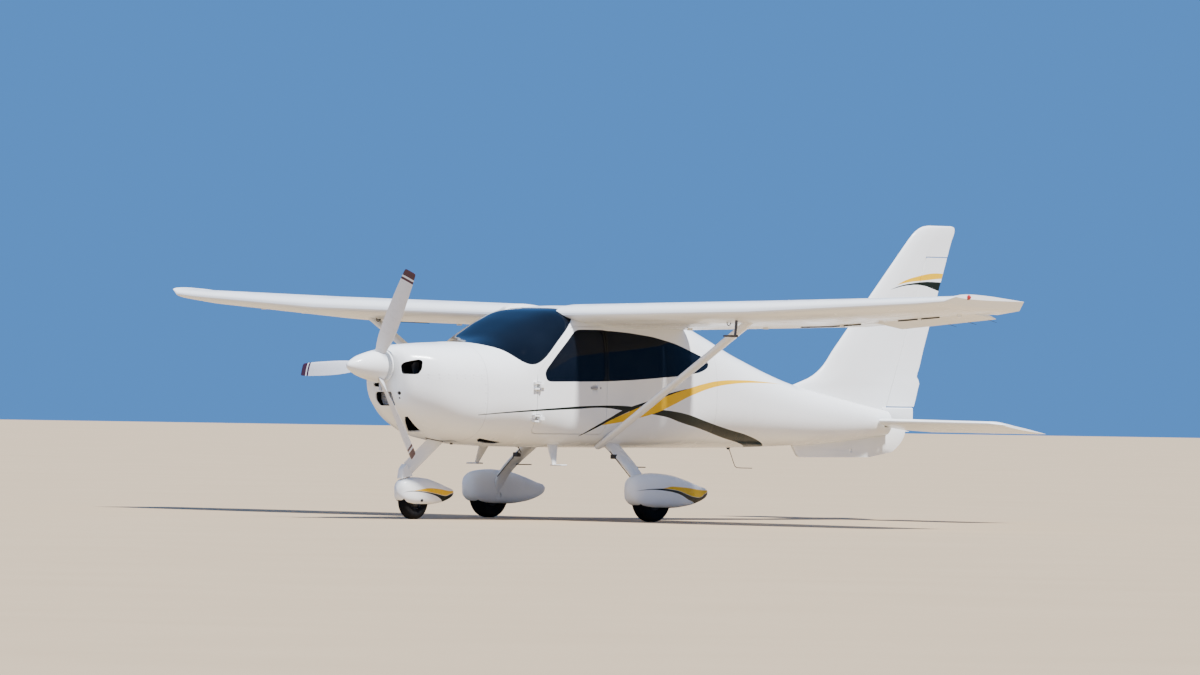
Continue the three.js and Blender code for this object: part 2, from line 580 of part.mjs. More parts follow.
function buildTail() {
  const { reach } = STAB_PIVOT;
  const tube = (radius) => bar(
    at(-reach, STAB_PIVOT.aft, STAB_PIVOT.height), at(reach, STAB_PIVOT.aft, STAB_PIVOT.height), radius, 20);
  const cone = body(BULKHEAD + GAP, TAIL_END)
    .subtract(body(BULKHEAD + SKIN, TAIL_END - WALL, SKIN))
    .add(box(-TAIL_FAIRING.half, TAIL_FAIRING.half, TAIL_FAIRING.from, TAIL_FAIRING.to,
      TAIL_FAIRING.low, TAIL_FAIRING.high))
    .subtract(tube(STAB_PIVOT.tube + GAP));

  const hinge = [at(0, RUDDER.aft[0], RUDDER.low), at(0, RUDDER.aft[1], RUDDER.high)];
  const rudderEnds = drawnIn(hinge, MOVE_GAP + 2);
  const fin = finLoft();
  const rudder = fin.intersect(hingePrism(rudderEnds, PAST_EDGE, ACROSS, RUDDER_FACE.nose, RUDDER_FACE.half))
    .subtract(hingePins(hinge, HINGE_PIN.radius + GAP, HINGE_PIN.length + 1));
  const pins = hingePins(hinge, HINGE_PIN.radius, HINGE_PIN.length);
  const upperHalf = box(-50, 50, 6000, 7000, (RUDDER.low + RUDDER.high) / 2, RUDDER.high + 200);
  const upperPin = pins.intersect(upperHalf);
  const lowerPin = pins.subtract(upperHalf);
  const finPocket = hingePrism(shifted(hinge, 0, -RUDDER_FACE.pocket, 0), PAST_EDGE, ACROSS, 0, 0);
  const belowRudder = box(-200, 200, RUDDER.aft[0] - RUDDER_FACE.pocket, 7000, 700, RUDDER.low + 1);
  const coneGuard = body(BULKHEAD, TAIL_END, -GAP);
  add('fin', fin.subtract(finPocket).subtract(belowRudder).subtract(coneGuard).add(upperPin)
    .subtract(box(-60, 60, TAIL_FAIRING.from - GAP, 6600, 800, TAIL_FAIRING.high + GAP)), FINISH.white);
  add('rudder', rudder, FINISH.white);
  add('tail_cone', cone.add(lowerPin), FINISH.white);

  const { half, tie } = VENTRAL;
  const lastStation = stationAt(TAIL_END);
  const tieHole = bar(at(-half - 5, tie.aft, tie.height), at(half + 5, tie.aft, tie.height), tie.radius, 14);
  add('ventral_fin', sidePrism(VENTRAL_SIDE, -half, half).subtract(coneGuard).subtract(tieHole)
    .subtract(box(-50, 50, TAIL_END - 60, TAIL_END + GAP, lastStation.low, lastStation.high)), FINISH.white);

  let plane = tube(STAB_PIVOT.tube);
  for (const [way, word] of [[1, 'left'], [-1, 'right']]) {
    const surface = stabLoft(way);
    const ends = tabHinge(way);
    const open = [ends[0].clone().setX(way * (STABILATOR[0].out - 30)), ends[1]];
    const pocket = hingePrism(shifted(open, 0, -TAB_FACE.pocket, 0), PAST_EDGE, UP, 0, 0);
    const along = new THREE.Vector3().subVectors(ends[1], ends[0]).normalize();
    const pin = (radius, depth) => bar(
      ends[1].clone().addScaledVector(along, 4), ends[1].clone().addScaledVector(along, -depth), radius, 12);
    const tabEnds = [open[0], ends[1].clone().addScaledVector(along, -MOVE_GAP)];
    const tab = surface.intersect(hingePrism(tabEnds, PAST_EDGE, UP, TAB_FACE.nose, TAB_FACE.half));
    plane = plane.add(surface.subtract(pocket).add(pin(TAB_FACE.pin, TAB_FACE.depth)));
    add(`trim_tab_${word}`, tab.subtract(pin(TAB_FACE.pin + GAP, TAB_FACE.depth + 1)), FINISH.white);
  }
  add('stabilator', plane, FINISH.white);
}

// Undercarriage

function pantLoft(cover, centre, inset = 0) {
  const [length, tall] = [cover.to - cover.from, cover.high - cover.low];
  return loft(PANT_FORM.map(({ along, half, low, high }) => {
    const [z0, z1] = [cover.low + low * tall + inset, cover.low + high * tall - inset];
    const wide = Math.max(cover.half * half - inset, 1);
    const aft = cover.from + inset + along * (length - 2 * inset);
    const ring = [];
    for (let i = 0; i < PANT_SIDES; i++) {
      const angle = i / PANT_SIDES * 2 * Math.PI;
      const [c, s] = [Math.cos(angle), Math.sin(angle)];
      const power = s < 0 ? PANT_SQUARENESS.lower : PANT_SQUARENESS.upper;
      ring.push(at(centre + wide * Math.sign(c) * Math.abs(c) ** power, aft,
        (z0 + z1) / 2 + Math.max(z1 - z0, 2) / 2 * Math.sign(s) * Math.abs(s) ** power));
    }
    return ring;
  }));
}

// Cover with room inside, open below where the tyre passes through
function hollowPant(cover, wheel, centre) {
  const half = wheel.width / 2 + MOVE_GAP;
  const room = bar(at(centre - half, wheel.aft, wheel.radius), at(centre + half, wheel.aft, wheel.radius),
    wheel.radius + MOVE_GAP + 2, 28);
  return pantLoft(cover, centre).subtract(pantLoft(cover, centre, cover.skin)).subtract(room);
}

// Wheels are turned about their own middle, then laid with the axle across the aircraft
function wheelPiece(name, wheel, out, profile, finish, segments) {
  const geometry = new THREE.LatheGeometry(profile.map(([r, along]) => new THREE.Vector2(r, along)), segments);
  const piece = add(name, solid(geometry), finish);
  piece.rotation.z = -Math.PI / 2;
  piece.position.copy(at(out, wheel.aft, wheel.radius));
}

function buildWheel(word, wheel, out) {
  const [r, half, seat] = [wheel.radius, wheel.width / 2, wheel.bore];
  const tyre = [
    [seat, -half + 20], [seat + 14, -half + 10], [r - 38, -half], [r - 12, -half + 12], [r, -half + 34],
    [r, half - 34], [r - 12, half - 12], [r - 38, half], [seat + 14, half - 10], [seat, half - 20],
    [seat, -half + 20],
  ];
  const rim = [
    [AXLE_RADIUS + 2 * GAP, -half + 8], [40, -half + 8], [46, -half + 26],
    [seat - GAP, -half + 14], [seat - GAP, half - 14], [46, half - 26],
    [40, half - 8], [AXLE_RADIUS + 2 * GAP, half - 8], [AXLE_RADIUS + 2 * GAP, -half + 8],
  ];
  wheelPiece(`${word}_tyre`, wheel, out, tyre, FINISH.rubber, 28);
  wheelPiece(`${word}_rim`, wheel, out, rim, FINISH.alloy, 28);
}

const MAIN_LEG = {
  top: { out: 400, height: 652 }, knee: { out: 800, height: 312 }, foot: { out: 838, height: 196 },
  chord: 118, thick: 34, hub: 30, clearance: 1.05,
};

function buildMainGear(side, word) {
  const { top, knee, foot, chord, thick } = MAIN_LEG;
  const rings = [[top, 1.15, 1.2], [knee, 0.9, 1], [foot, 0.62, 1]].map(([point, widthShare, thickShare], i) => {
    const slope = i < 2 ? new THREE.Vector3(knee.height - top.height, 0, top.out - knee.out)
      : new THREE.Vector3(foot.height - knee.height, 0, knee.out - foot.out);
    const normal = slope.normalize();
    normal.x *= side;
    const wide = chord * widthShare;
    return foilRing(MAIN_WHEEL.aft - wide * 0.45, MAIN_WHEEL.aft + wide * 0.55, thick * thickShare / wide, 0,
      (aft, up) => at(side * point.out, aft, point.height).addScaledVector(normal, up));
  });
  const across = (from, to, radius) => bar(at(side * from, MAIN_WHEEL.aft, MAIN_WHEEL.radius),
    at(side * to, MAIN_WHEEL.aft, MAIN_WHEEL.radius), radius, 24);
  const axle = across(foot.out - 8, MAIN_WHEEL.out + MAIN_WHEEL.width / 2 - 10, AXLE_RADIUS);
  const leg = loft(rings).add(axle).add(across(foot.out - 12, MAIN_WHEEL.out - MAIN_WHEEL.width / 2, MAIN_LEG.hub));
  const centre = side * MAIN_WHEEL.out;
  const legGuard = loft(rings.map((ring) => {
    const middle = new THREE.Vector3();
    ring.forEach((point) => middle.addScaledVector(point, 1 / ring.length));
    return ring.map((point) => point.clone().sub(middle).multiplyScalar(MAIN_LEG.clearance).add(middle));
  }));
  const hole = across(foot.out - 48, foot.out + 32, MAIN_LEG.hub + GAP);
  add(`${word}_main_leg`, leg.subtract(bodyGuard), FINISH.white);
  add(`${word}_main_pant`, hollowPant(MAIN_PANT, MAIN_WHEEL, centre)
    .subtract(legGuard).subtract(hole), FINISH.white);
  buildWheel(`${word}_main`, MAIN_WHEEL, centre);
}

const NOSE_LEG = {
  top: { aft: 1015, height: 655 }, bottom: { aft: 680, height: 405 }, chord: 120, thick: 44,
};
const STEER = { aft: 690, pin: 15, sleeve: 27, low: 346, high: 420 };
const FORK = { neck: 20, arm: 20, wall: 7, clear: 6, crown: 10, over: 8 };

function buildNoseGear() {
  const { top, bottom, chord, thick } = NOSE_LEG;
  const along = new THREE.Vector3(0, bottom.aft - top.aft, bottom.height - top.height).normalize();
  const fore = new THREE.Vector3(0, along.z, -along.y);
  const rings = [top, bottom].map((point) => foilRing(-chord / 2, chord / 2, thick / chord, 0,
    (place, up) => at(0, point.aft, point.height).addScaledVector(fore, place).add(new THREE.Vector3(up, 0, 0))));
  const sleeve = bar(at(0, STEER.aft, STEER.low), at(0, STEER.aft, STEER.high), STEER.sleeve, 20);
  const bore = bar(at(0, STEER.aft, STEER.low - 10), at(0, STEER.aft, STEER.high - 12), STEER.pin + GAP, 20);
  add('nose_leg', loft(rings).add(sleeve).subtract(bore).subtract(bodyGuard), FINISH.white);

  const crown = NOSE_WHEEL.radius * 2 + FORK.over;
  const half = NOSE_WHEEL.width / 2 + FORK.clear;
  const outer = half + FORK.wall;
  const frame = (grow) => {
    const [front, back] = [NOSE_WHEEL.aft - FORK.arm - grow, NOSE_WHEEL.aft + FORK.arm + grow];
    const arms = [-1, 1].map((side) => {
      const [a, b] = [side * (half - grow), side * (outer + grow)].sort((p, q) => p - q);
      return box(a, b, front, back, NOSE_WHEEL.radius - FORK.arm - grow, crown + FORK.crown / 2);
    });
    return arms[0].add(arms[1])
      .add(box(-outer - grow, outer + grow, front, back, crown - grow, crown + FORK.crown + grow))
      .add(box(-FORK.neck - grow, FORK.neck + grow, STEER.aft - FORK.neck - grow, NOSE_WHEEL.aft,
        crown - grow, crown + FORK.crown + grow));
  };
  const post = (radius, to) => bar(at(0, STEER.aft, crown + 4), at(0, STEER.aft, to), radius, 20);
  const axle = bar(at(-half - 4, NOSE_WHEEL.aft, NOSE_WHEEL.radius),
    at(half + 4, NOSE_WHEEL.aft, NOSE_WHEEL.radius), AXLE_RADIUS, 24);
  add('nose_fork', frame(0).add(post(STEER.pin, STEER.high - 14)).add(axle), FINISH.steel);
  add('nose_pant', hollowPant(NOSE_PANT, NOSE_WHEEL, 0)
    .subtract(post(STEER.pin + GAP, STEER.low)).subtract(frame(GAP)), FINISH.white);
  buildWheel('nose', NOSE_WHEEL, 0);
}

// Steps, probes and cabin fittings

const STEP = {
  out: 388, aft: 1915, drop: 440, pad: 130, stalk: 11, plate: 12, lean: 60, rake: 34, ahead: 55, behind: 15,
};

function buildStep(side, word) {
  const stalk = bar(at(side * STEP.out, STEP.aft, 640),
    at(side * (STEP.out + STEP.lean), STEP.aft - STEP.rake, STEP.drop + STEP.plate / 2), STEP.stalk, 12);
  const inner = STEP.out + STEP.lean / 2 + 1;
  const [a, b] = [side * inner, side * (inner + STEP.pad)].sort((p, q) => p - q);
  const pad = box(a, b, STEP.aft - STEP.ahead, STEP.aft + STEP.behind, STEP.drop, STEP.drop + STEP.plate);
  add(`entry_step_${word}`, stalk.add(pad).subtract(bodyGuard), FINISH.steel);
}

const cabinRoom = body(
  FIREWALL + PLATE + GAP, BULKHEAD - PLATE - GAP, WALL + GAP, FLOOR + GAP, CEILING - GAP);

const SEAT = {
  out: 248, half: 216,
  side: [
    [1900, 740], [1920, 700], [1960, 700], [1960, 600], [2300, 600], [2300, 700], [2400, 700],
    [2560, 1400], [2520, 1440], [2470, 1430], [2350, 900], [2310, 850], [1920, 870],
  ],
};

function buildSeat(side, word) {
  const [a, b] = [side * SEAT.out - SEAT.half, side * SEAT.out + SEAT.half];
  add(`seat_${word}`, sidePrism(SEAT.side, a, b).intersect(cabinRoom), FINISH.leather);
}

const PANEL = { half: 600, front: 1402, back: 1438, low: 985, high: 1262, hood: 14 };
const STICK = {
  aft: 1760, foot: 28, shaft: 10, tube: 12, block: { half: 30, ahead: 20, under: 6 },
  grip: { aft: 1700, height: 960, radius: 19 }, top: { aft: 1688, height: 1075 },
};

function buildCockpit() {
  const { half, front, back, low, high, hood } = PANEL;
  const board = box(-half, half, front, back, low, high).add(box(-half, half, FIREWALL, back, high - 2, high + hood));
  add('instrument_panel', board.intersect(cabinRoom), FINISH.black);
  const { aft, foot, shaft, tube, block, grip, top } = STICK;
  const bottom = stationAt(aft).low + FLOOR;
  const height = bottom + foot;
  let sticks = bar(at(-SEAT.out, aft, height), at(SEAT.out, aft, height), tube, 8);
  for (const out of [-SEAT.out, SEAT.out]) {
    const hand = at(out, grip.aft, grip.height);
    sticks = sticks.add(bar(at(out, aft, height), hand, shaft, 8))
      .add(bar(hand, at(out, top.aft, top.height), grip.radius, 8))
      .add(box(out - block.half, out + block.half, aft - block.ahead, aft + block.ahead,
        bottom - block.under, bottom + foot));
  }
  add('control_sticks', sticks.intersect(cabinRoom), FINISH.black);
}

const PITOT = { out: 2200, aft: 2170, reach: 150, low: 1500, top: 1680, radius: 9 };
const WHIP = { aft: 4270, high: 700, radius: 3, bend: { aft: 4400, height: 441 }, end: { aft: 4450, height: 420 } };

function buildProbes() {
  const { out, aft, low, radius } = PITOT;
  const mast = bar(at(out, aft, PITOT.top), at(out, aft - 20, low), radius, 8)
    .add(bar(at(out, aft, low), at(out, aft - PITOT.reach, low), radius, 8));
  add('pitot_tube', mast.subtract(wingLoft(1, GAP)), FINISH.alloy);
  const { bend, end } = WHIP;
  const whip = bar(at(0, WHIP.aft, WHIP.high), at(0, bend.aft, bend.height), WHIP.radius, 6)
    .add(bar(at(0, bend.aft - 2, bend.height + 2), at(0, end.aft, end.height), WHIP.radius, 6));
  add('whip_antenna', whip.subtract(bodyGuard), FINISH.black);
}

buildCabin();
buildCowl();
buildPropeller();
buildTail();
buildNoseGear();
buildCockpit();
buildProbes();
for (const [side, word] of [[1, 'left'], [-1, 'right']]) {
  buildWing(side, word);
  buildStrut(side, word);
  buildMainGear(side, word);
  buildStep(side, word);
  buildSeat(side, word);
}

export default aircraft;
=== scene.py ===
"""Looks of a two-seat, high-wing light aircraft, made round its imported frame.

Metres, +Z up, nose towards -Y, the aircraft's left side towards +X. "Aft" is a distance behind the
spinner's tip and "out" a distance from the middle plane. Left and right are the pilot's.
"""
from __future__ import annotations

import logging
import math
from collections.abc import Sequence
from dataclasses import dataclass, field
from enum import Enum
from functools import cache
from typing import ClassVar

import bpy
from mathutils import Matrix, Vector


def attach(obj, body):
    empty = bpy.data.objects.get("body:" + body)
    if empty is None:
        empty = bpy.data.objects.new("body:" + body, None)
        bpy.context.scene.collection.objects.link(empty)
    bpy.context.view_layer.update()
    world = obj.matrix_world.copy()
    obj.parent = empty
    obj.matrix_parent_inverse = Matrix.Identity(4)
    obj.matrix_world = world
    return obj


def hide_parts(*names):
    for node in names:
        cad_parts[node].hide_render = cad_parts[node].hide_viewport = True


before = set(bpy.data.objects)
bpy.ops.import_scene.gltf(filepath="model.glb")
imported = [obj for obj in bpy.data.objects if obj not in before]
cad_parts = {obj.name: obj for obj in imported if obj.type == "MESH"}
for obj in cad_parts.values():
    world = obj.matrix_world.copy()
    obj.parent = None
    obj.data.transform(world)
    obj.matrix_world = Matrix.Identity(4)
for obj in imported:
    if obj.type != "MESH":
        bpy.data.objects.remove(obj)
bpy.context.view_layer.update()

LOG = logging.getLogger("aircraft")
HALF_LENGTH = 3.485
GAP = 0.0004
WIDE = (-0.7, 0.7)
SIDES = ((1, "left"), (-1, "right"))
Point = tuple[float, float]
Triple = tuple[float, float, float]
Outline = tuple[Point, ...]
Table = tuple[tuple[float, ...], ...]
Ring = list[Vector]
Piece = bpy.types.Object
Socket = bpy.types.NodeSocket


def at(out: float, aft: float, height: float) -> Vector:
    """Point from out, aft and height."""
    return Vector((out, aft - HALF_LENGTH, height))


def on(side: int, near: float, far: float) -> Point:
    """Two distances out on one side."""
    return side * near, side * far


def circle(count: int, shift: float = 0.0) -> list[Point]:
    """Cosine and sine at even steps round a circle."""
    turns = [math.tau * (i + shift) / count for i in range(count)]
    return [(math.cos(turn), math.sin(turn)) for turn in turns]


def bulge(value: float, power: float) -> float:
    """Power of a value's size with the value's sign."""
    return math.copysign(abs(value) ** power, value)


def middle_of(points: Sequence[Vector]) -> Vector:
    """Mean of some points."""
    return sum(points, Vector()) / len(points)


ACROSS, AFTWARD, UP = Vector((1, 0, 0)), Vector((0, 1, 0)), Vector((0, 0, 1))


def widened(rings: Sequence[Ring], share: float) -> list[Ring]:
    """Rings made larger about their middles by a share."""
    return [[point + (point - middle_of(ring)) * share for point in ring] for ring in rings]


class Smooth:
    """Monotone cubic curves through the rows of a table, read by its first column."""

    def __init__(self, rows: Sequence[Sequence[float]]) -> None:
        """Works out a slope for each row and column.

        Args:
            rows: the table, its first column rising.
        """
        self.places = [row[0] for row in rows]
        self.columns = list(zip(*[row[1:] for row in rows]))
        self.slopes = [self._slopes(column) for column in self.columns]

    def _slopes(self, column: Sequence[float]) -> list[float]:
        """Slopes that keep a column's curve between its own values."""
        steps = [(b - a) / (q - p) for a, b, p, q in zip(column, column[1:], self.places, self.places[1:])]
        slopes = [steps[0]]
        for before, after in zip(steps, steps[1:]):
            same_way = before * after > 0
            slopes.append(2 * before * after / (before + after) if same_way else 0.0)
        return [*slopes, steps[-1]]

    def __call__(self, place: float) -> list[float]:
        """Values of all columns.

        Args:
            place: where to read, held inside the table.

        Returns:
            One value for each column after the first.
        """
        place = min(max(place, self.places[0]), self.places[-1])
        last = next(i for i, p in enumerate(self.places) if p >= place) or 1
        p, q = self.places[last - 1], self.places[last]
        t = (place - p) / (q - p)
        e, f = 2 * t ** 3 - 3 * t ** 2 + 1, (t ** 3 - 2 * t ** 2 + t) * (q - p)
        g, h = 3 * t ** 2 - 2 * t ** 3, (t ** 3 - t ** 2) * (q - p)
        return [e * c[last - 1] + f * s[last - 1] + g * c[last] + h * s[last]
                for c, s in zip(self.columns, self.slopes)]


def straight(rows: Sequence[Sequence[float]], place: float) -> list[float]:
    """Values of a table's columns at a place, on straight lines between its rows."""
    last = next((i for i, row in enumerate(rows) if row[0] >= place), len(rows) - 1) or 1
    a, b = rows[last - 1], rows[last]
    t = (place - a[0]) / (b[0] - a[0])
    return [p + (q - p) * t for p, q in zip(a[1:], b[1:])]


def spread(start: float, end: float, step: float) -> list[float]:
    """Evenly spread values from start to end, no further apart than step."""
    count = max(math.ceil(abs(end - start) / step), 1)
    return [start + (end - start) * i / count for i in range(count + 1)]


def rounded(outline: Sequence[Point], radius: float, steps: int = 6) -> list[Point]:
    """Outline with its corners made round.

    Args:
        outline: the corners in order.
        radius: how far from a corner its curve begins, at most half of each side.
        steps: segments in each curve.

    Returns:
        The points of the rounded outline.
    """
    points: list[Point] = []
    count = len(outline)
    for i, corner in enumerate(outline):
        c = Vector(corner)
        before, after = Vector(outline[i - 1]), Vector(outline[(i + 1) % count])
        a = c + (before - c).normalized() * min(radius, (before - c).length * 0.49)
        b = c + (after - c).normalized() * min(radius, (after - c).length * 0.49)
        for k in range(steps + 1):
            t = k / steps
            point = a * (1 - t) ** 2 + c * 2 * t * (1 - t) + b * t ** 2
            points.append((point.x, point.y))
    return points


def grown(outline: Sequence[Point], distance: float) -> list[Point]:
    """Outline moved outwards by a distance, its corners mitred."""
    points = [Vector(p) for p in outline]
    area = sum(a.cross(b) for a, b in zip(points, points[1:] + points[:1]))
    turn = 1 if area > 0 else -1
    moved = []
    for i, point in enumerate(points):
        before, after = points[i - 1], points[(i + 1) % len(points)]
        n1 = Vector((point.y - before.y, before.x - point.x)).normalized()
        n2 = Vector((after.y - point.y, point.x - after.x)).normalized()
        place = point + (n1 + n2) * (distance * turn / max(1 + n1.dot(n2), 0.3))
        moved.append((place.x, place.y))
    return moved


class Cut(Enum):
    """Ways to combine a piece with a tool."""

    LESS = "DIFFERENCE"
    BOTH = "INTERSECT"
    PLUS = "UNION"


Step = tuple[Cut, Piece]


def less(tool: Piece) -> Step:
    """A step that takes a tool away."""
    return Cut.LESS, tool


def both(tool: Piece) -> Step:
    """A step that keeps what lies inside a tool."""
    return Cut.BOTH, tool


def plus(tool: Piece) -> Step:
    """A step that adds a tool."""
    return Cut.PLUS, tool


def linked(name: str, data: bpy.types.ID) -> Piece:
    """A new object of the data in the scene."""
    made = bpy.data.objects.new(name, data)
    bpy.context.scene.collection.objects.link(made)
    return made


def mesh_of(vertices: Sequence[Vector], faces: Sequence[Sequence[int]] = ()) -> bpy.types.Mesh:
    """A mesh of points and faces."""
    mesh = bpy.data.meshes.new("mesh")
    mesh.from_pydata([tuple(v) for v in vertices], [], faces)
    return mesh


def object_from(vertices: Sequence[Vector], faces: Sequence[Sequence[int]]) -> Piece:
    """Makes a mesh object whose faces point out.

    Args:
        vertices: points in metres.
        faces: corner numbers of each face.

    Returns:
        The new object, linked to the scene.
    """
    volume = 0.0
    for face in faces:
        for i in range(1, len(face) - 1):
            a, b, c = vertices[face[0]], vertices[face[i]], vertices[face[i + 1]]
            volume += a.dot(b.cross(c))
    if volume < 0:
        faces = [tuple(reversed(face)) for face in faces]
    return linked("piece", mesh_of(vertices, faces))


def loft(rings: Sequence[Ring], closed: bool = False) -> Piece:
    """Skin through rings of equal count, with each end closed, or joined end to end."""
    count = len(rings[0])
    vertices = [point for ring in rings for point in ring]
    faces: list[Sequence[int]] = []
    turns = len(rings) if closed else len(rings) - 1
    for r in range(turns):
        a, b = r * count, (r + 1) % len(rings) * count
        faces += [(a + i, a + (i + 1) % count, b + (i + 1) % count, b + i) for i in range(count)]
    if not closed:
        faces.append(list(range(count))[::-1])
        faces.append([(len(rings) - 1) * count + i for i in range(count)])
    return object_from(vertices, faces)


def side_prism(outline: Sequence[Point], x0: float, x1: float) -> Piece:
    """Side outline of aft and height, drawn out across the aircraft."""
    return loft([[at(x, aft, z) for aft, z in outline] for x in (x0, x1)])


def front_prism(outline: Sequence[Point], aft0: float, aft1: float) -> Piece:
    """Front outline of out and height, drawn out along the aircraft."""
    return loft([[at(x, aft, z) for x, z in outline] for aft in (aft0, aft1)])


def block(x: Point, aft: Point, z: Point, bevel: float = 0.0) -> Piece:
    """Box between out, aft and height limits, with its edges rounded where bevel is given."""
    low, high = sorted(x)
    made = front_prism([(low, z[0]), (high, z[0]), (high, z[1]), (low, z[1])], *aft)
    if bevel > 0:
        soften(made, bevel)
    return made


def frame_of(direction: Vector) -> tuple[Vector, Vector]:
    """Two unit vectors across a direction."""
    turn = UP.rotation_difference(direction)
    return turn @ ACROSS, turn @ AFTWARD


def rod(a: Vector, b: Vector, radius: float, end: float | None = None, sides: int = 32) -> Piece:
    """Round bar between two points, tapered to the end radius where one is given."""
    u, v = frame_of((b - a).normalized())
    rings = []
    for middle, r in ((a, radius), (b, radius if end is None else end)):
        rings.append([middle + u * r * c + v * r * s for c, s in circle(sides)])
    return loft(rings)


def bar(out: float | Point, aft: float | Point, height: float | Point, radius: float,
        sides: int = 32) -> Piece:
    """Round bar along the one axis whose measure is a pair."""
    ends = [at(*(value[i] if isinstance(value, tuple) else value for value in (out, aft, height)))
            for i in (0, 1)]
    return rod(*ends, radius, sides=sides)


def tube_along(path: Sequence[Vector], radius: float, sides: int = 16) -> Piece:
    """Round tube along a path, its ends closed."""
    rings = []
    u = frame_of((path[1] - path[0]).normalized())[0]
    for i, point in enumerate(path):
        along = (path[min(i + 1, len(path) - 1)] - path[max(i - 1, 0)]).normalized()
        u = (u - along * u.dot(along)).normalized()
        v = along.cross(u)
        rings.append([point + u * radius * c + v * radius * s for c, s in circle(sides)])
    return loft(rings)


def turned(profile: Sequence[Point], centre: Vector, axis: Vector, segments: int = 64) -> Piece:
    """Shape turned about an axis from a closed profile.

    Args:
        profile: points of radius and distance along the axis. A profile that begins and ends at
            radius 0 closes on the axis, and any other closes on itself.
        centre: the axis's origin.
        axis: its direction.
        segments: steps round the axis.

    Returns:
        The new object.
    """
    u, v = frame_of(axis.normalized())
    along = axis.normalized()
    solid_core = profile[0][0] == 0
    rows = profile[1:-1] if solid_core else profile
    rings = []
    for c, s in circle(segments):
        spoke = u * c + v * s
        rings.append([centre + spoke * r + along * d for r, d in rows])
    if not solid_core:
        return loft(rings, closed=True)
    count = len(rows)
    vertices = [p for ring in rings for p in ring]
    vertices += [centre + along * profile[0][1], centre + along * profile[-1][1]]
    start, end = len(vertices) - 2, len(vertices) - 1
    faces: list[Sequence[int]] = []
    for r in range(segments):
        a, b = r * count, (r + 1) % segments * count
        faces += [(a + i, a + i + 1, b + i + 1, b + i) for i in range(count - 1)]
        faces.append((start, a, b))
        faces.append((a + count - 1, end, b + count - 1))
    return object_from(vertices, faces)


def settle(piece: Piece) -> Piece:
    """Replaces a piece's mesh by what its modifiers make of it."""
    graph = bpy.context.evaluated_depsgraph_get()
    mesh = bpy.data.meshes.new_from_object(piece.evaluated_get(graph))
    piece.modifiers.clear()
    piece.data = mesh
    return piece


TOOLS: list[Piece] = []


def carve(piece: Piece, *steps: Step) -> Piece:
    """Cuts or joins tools with a piece in order. The tools are put aside until clear_tools.

    Args:
        piece: the piece that is changed.
        steps: pairs of a way and a tool.

    Returns:
        The same piece.
    """
    for way, tool in steps:
        change = piece.modifiers.new(way.name, "BOOLEAN")
        change.operation = way.value
        change.solver = "MANIFOLD"
        change.object = tool
        if tool not in TOOLS:
            TOOLS.append(tool)
    return settle(piece)


def copy_of(piece: Piece) -> Piece:
    """A copy with its own mesh."""
    return linked("piece", piece.data.copy())


def clear_tools() -> None:
    """Deletes all cutting tools."""
    for tool in TOOLS:
        bpy.data.objects.remove(tool, do_unlink=True)
    TOOLS.clear()


def soften(piece: Piece, width: float, segments: int = 3, angle: float = 0.6) -> Piece:
    """Rounds a piece's sharp edges."""
    bevel = piece.modifiers.new("edges", "BEVEL")
    bevel.width = width
    bevel.segments = segments
    bevel.limit_method = "ANGLE"
    bevel.angle_limit = angle
    return settle(piece)


def joined(parts: Sequence[Piece]) -> Piece:
    """Puts several meshes into one object, without joining their surfaces."""
    vertices: list[Vector] = []
    faces: list[Sequence[int]] = []
    for part in parts:
        base = len(vertices)
        vertices += [part.matrix_world @ v.co for v in part.data.vertices]
        faces += [tuple(base + i for i in polygon.vertices) for polygon in part.data.polygons]
        bpy.data.objects.remove(part, do_unlink=True)
    return linked("piece", mesh_of(vertices, faces))


class Nodes:
    """A node tree that is filled node by node."""

    def __init__(self, tree: bpy.types.NodeTree) -> None:
        """Takes the tree to fill."""
        self.tree = tree

    def node(self, kind: str, inputs: dict | None = None, **settings: object) -> bpy.types.Node:
        """Adds a node.

        Args:
            kind: the node's type.
            inputs: values or sockets by input name or number.
            settings: the node's own properties.

        Returns:
            The node.
        """
        made = self.tree.nodes.new(kind)
        for name, value in settings.items():
            setattr(made, name, value)
        for key, value in (inputs or {}).items():
            self.put(made.inputs[key], value)
        return made

    def put(self, socket: Socket, value: object) -> None:
        """Links a socket to another, or sets its value. A colour gets full cover."""
        if isinstance(value, Socket):
            self.tree.links.new(value, socket)
        elif socket.type == "RGBA":
            socket.default_value = (*value, 1.0)
        else:
            socket.default_value = value


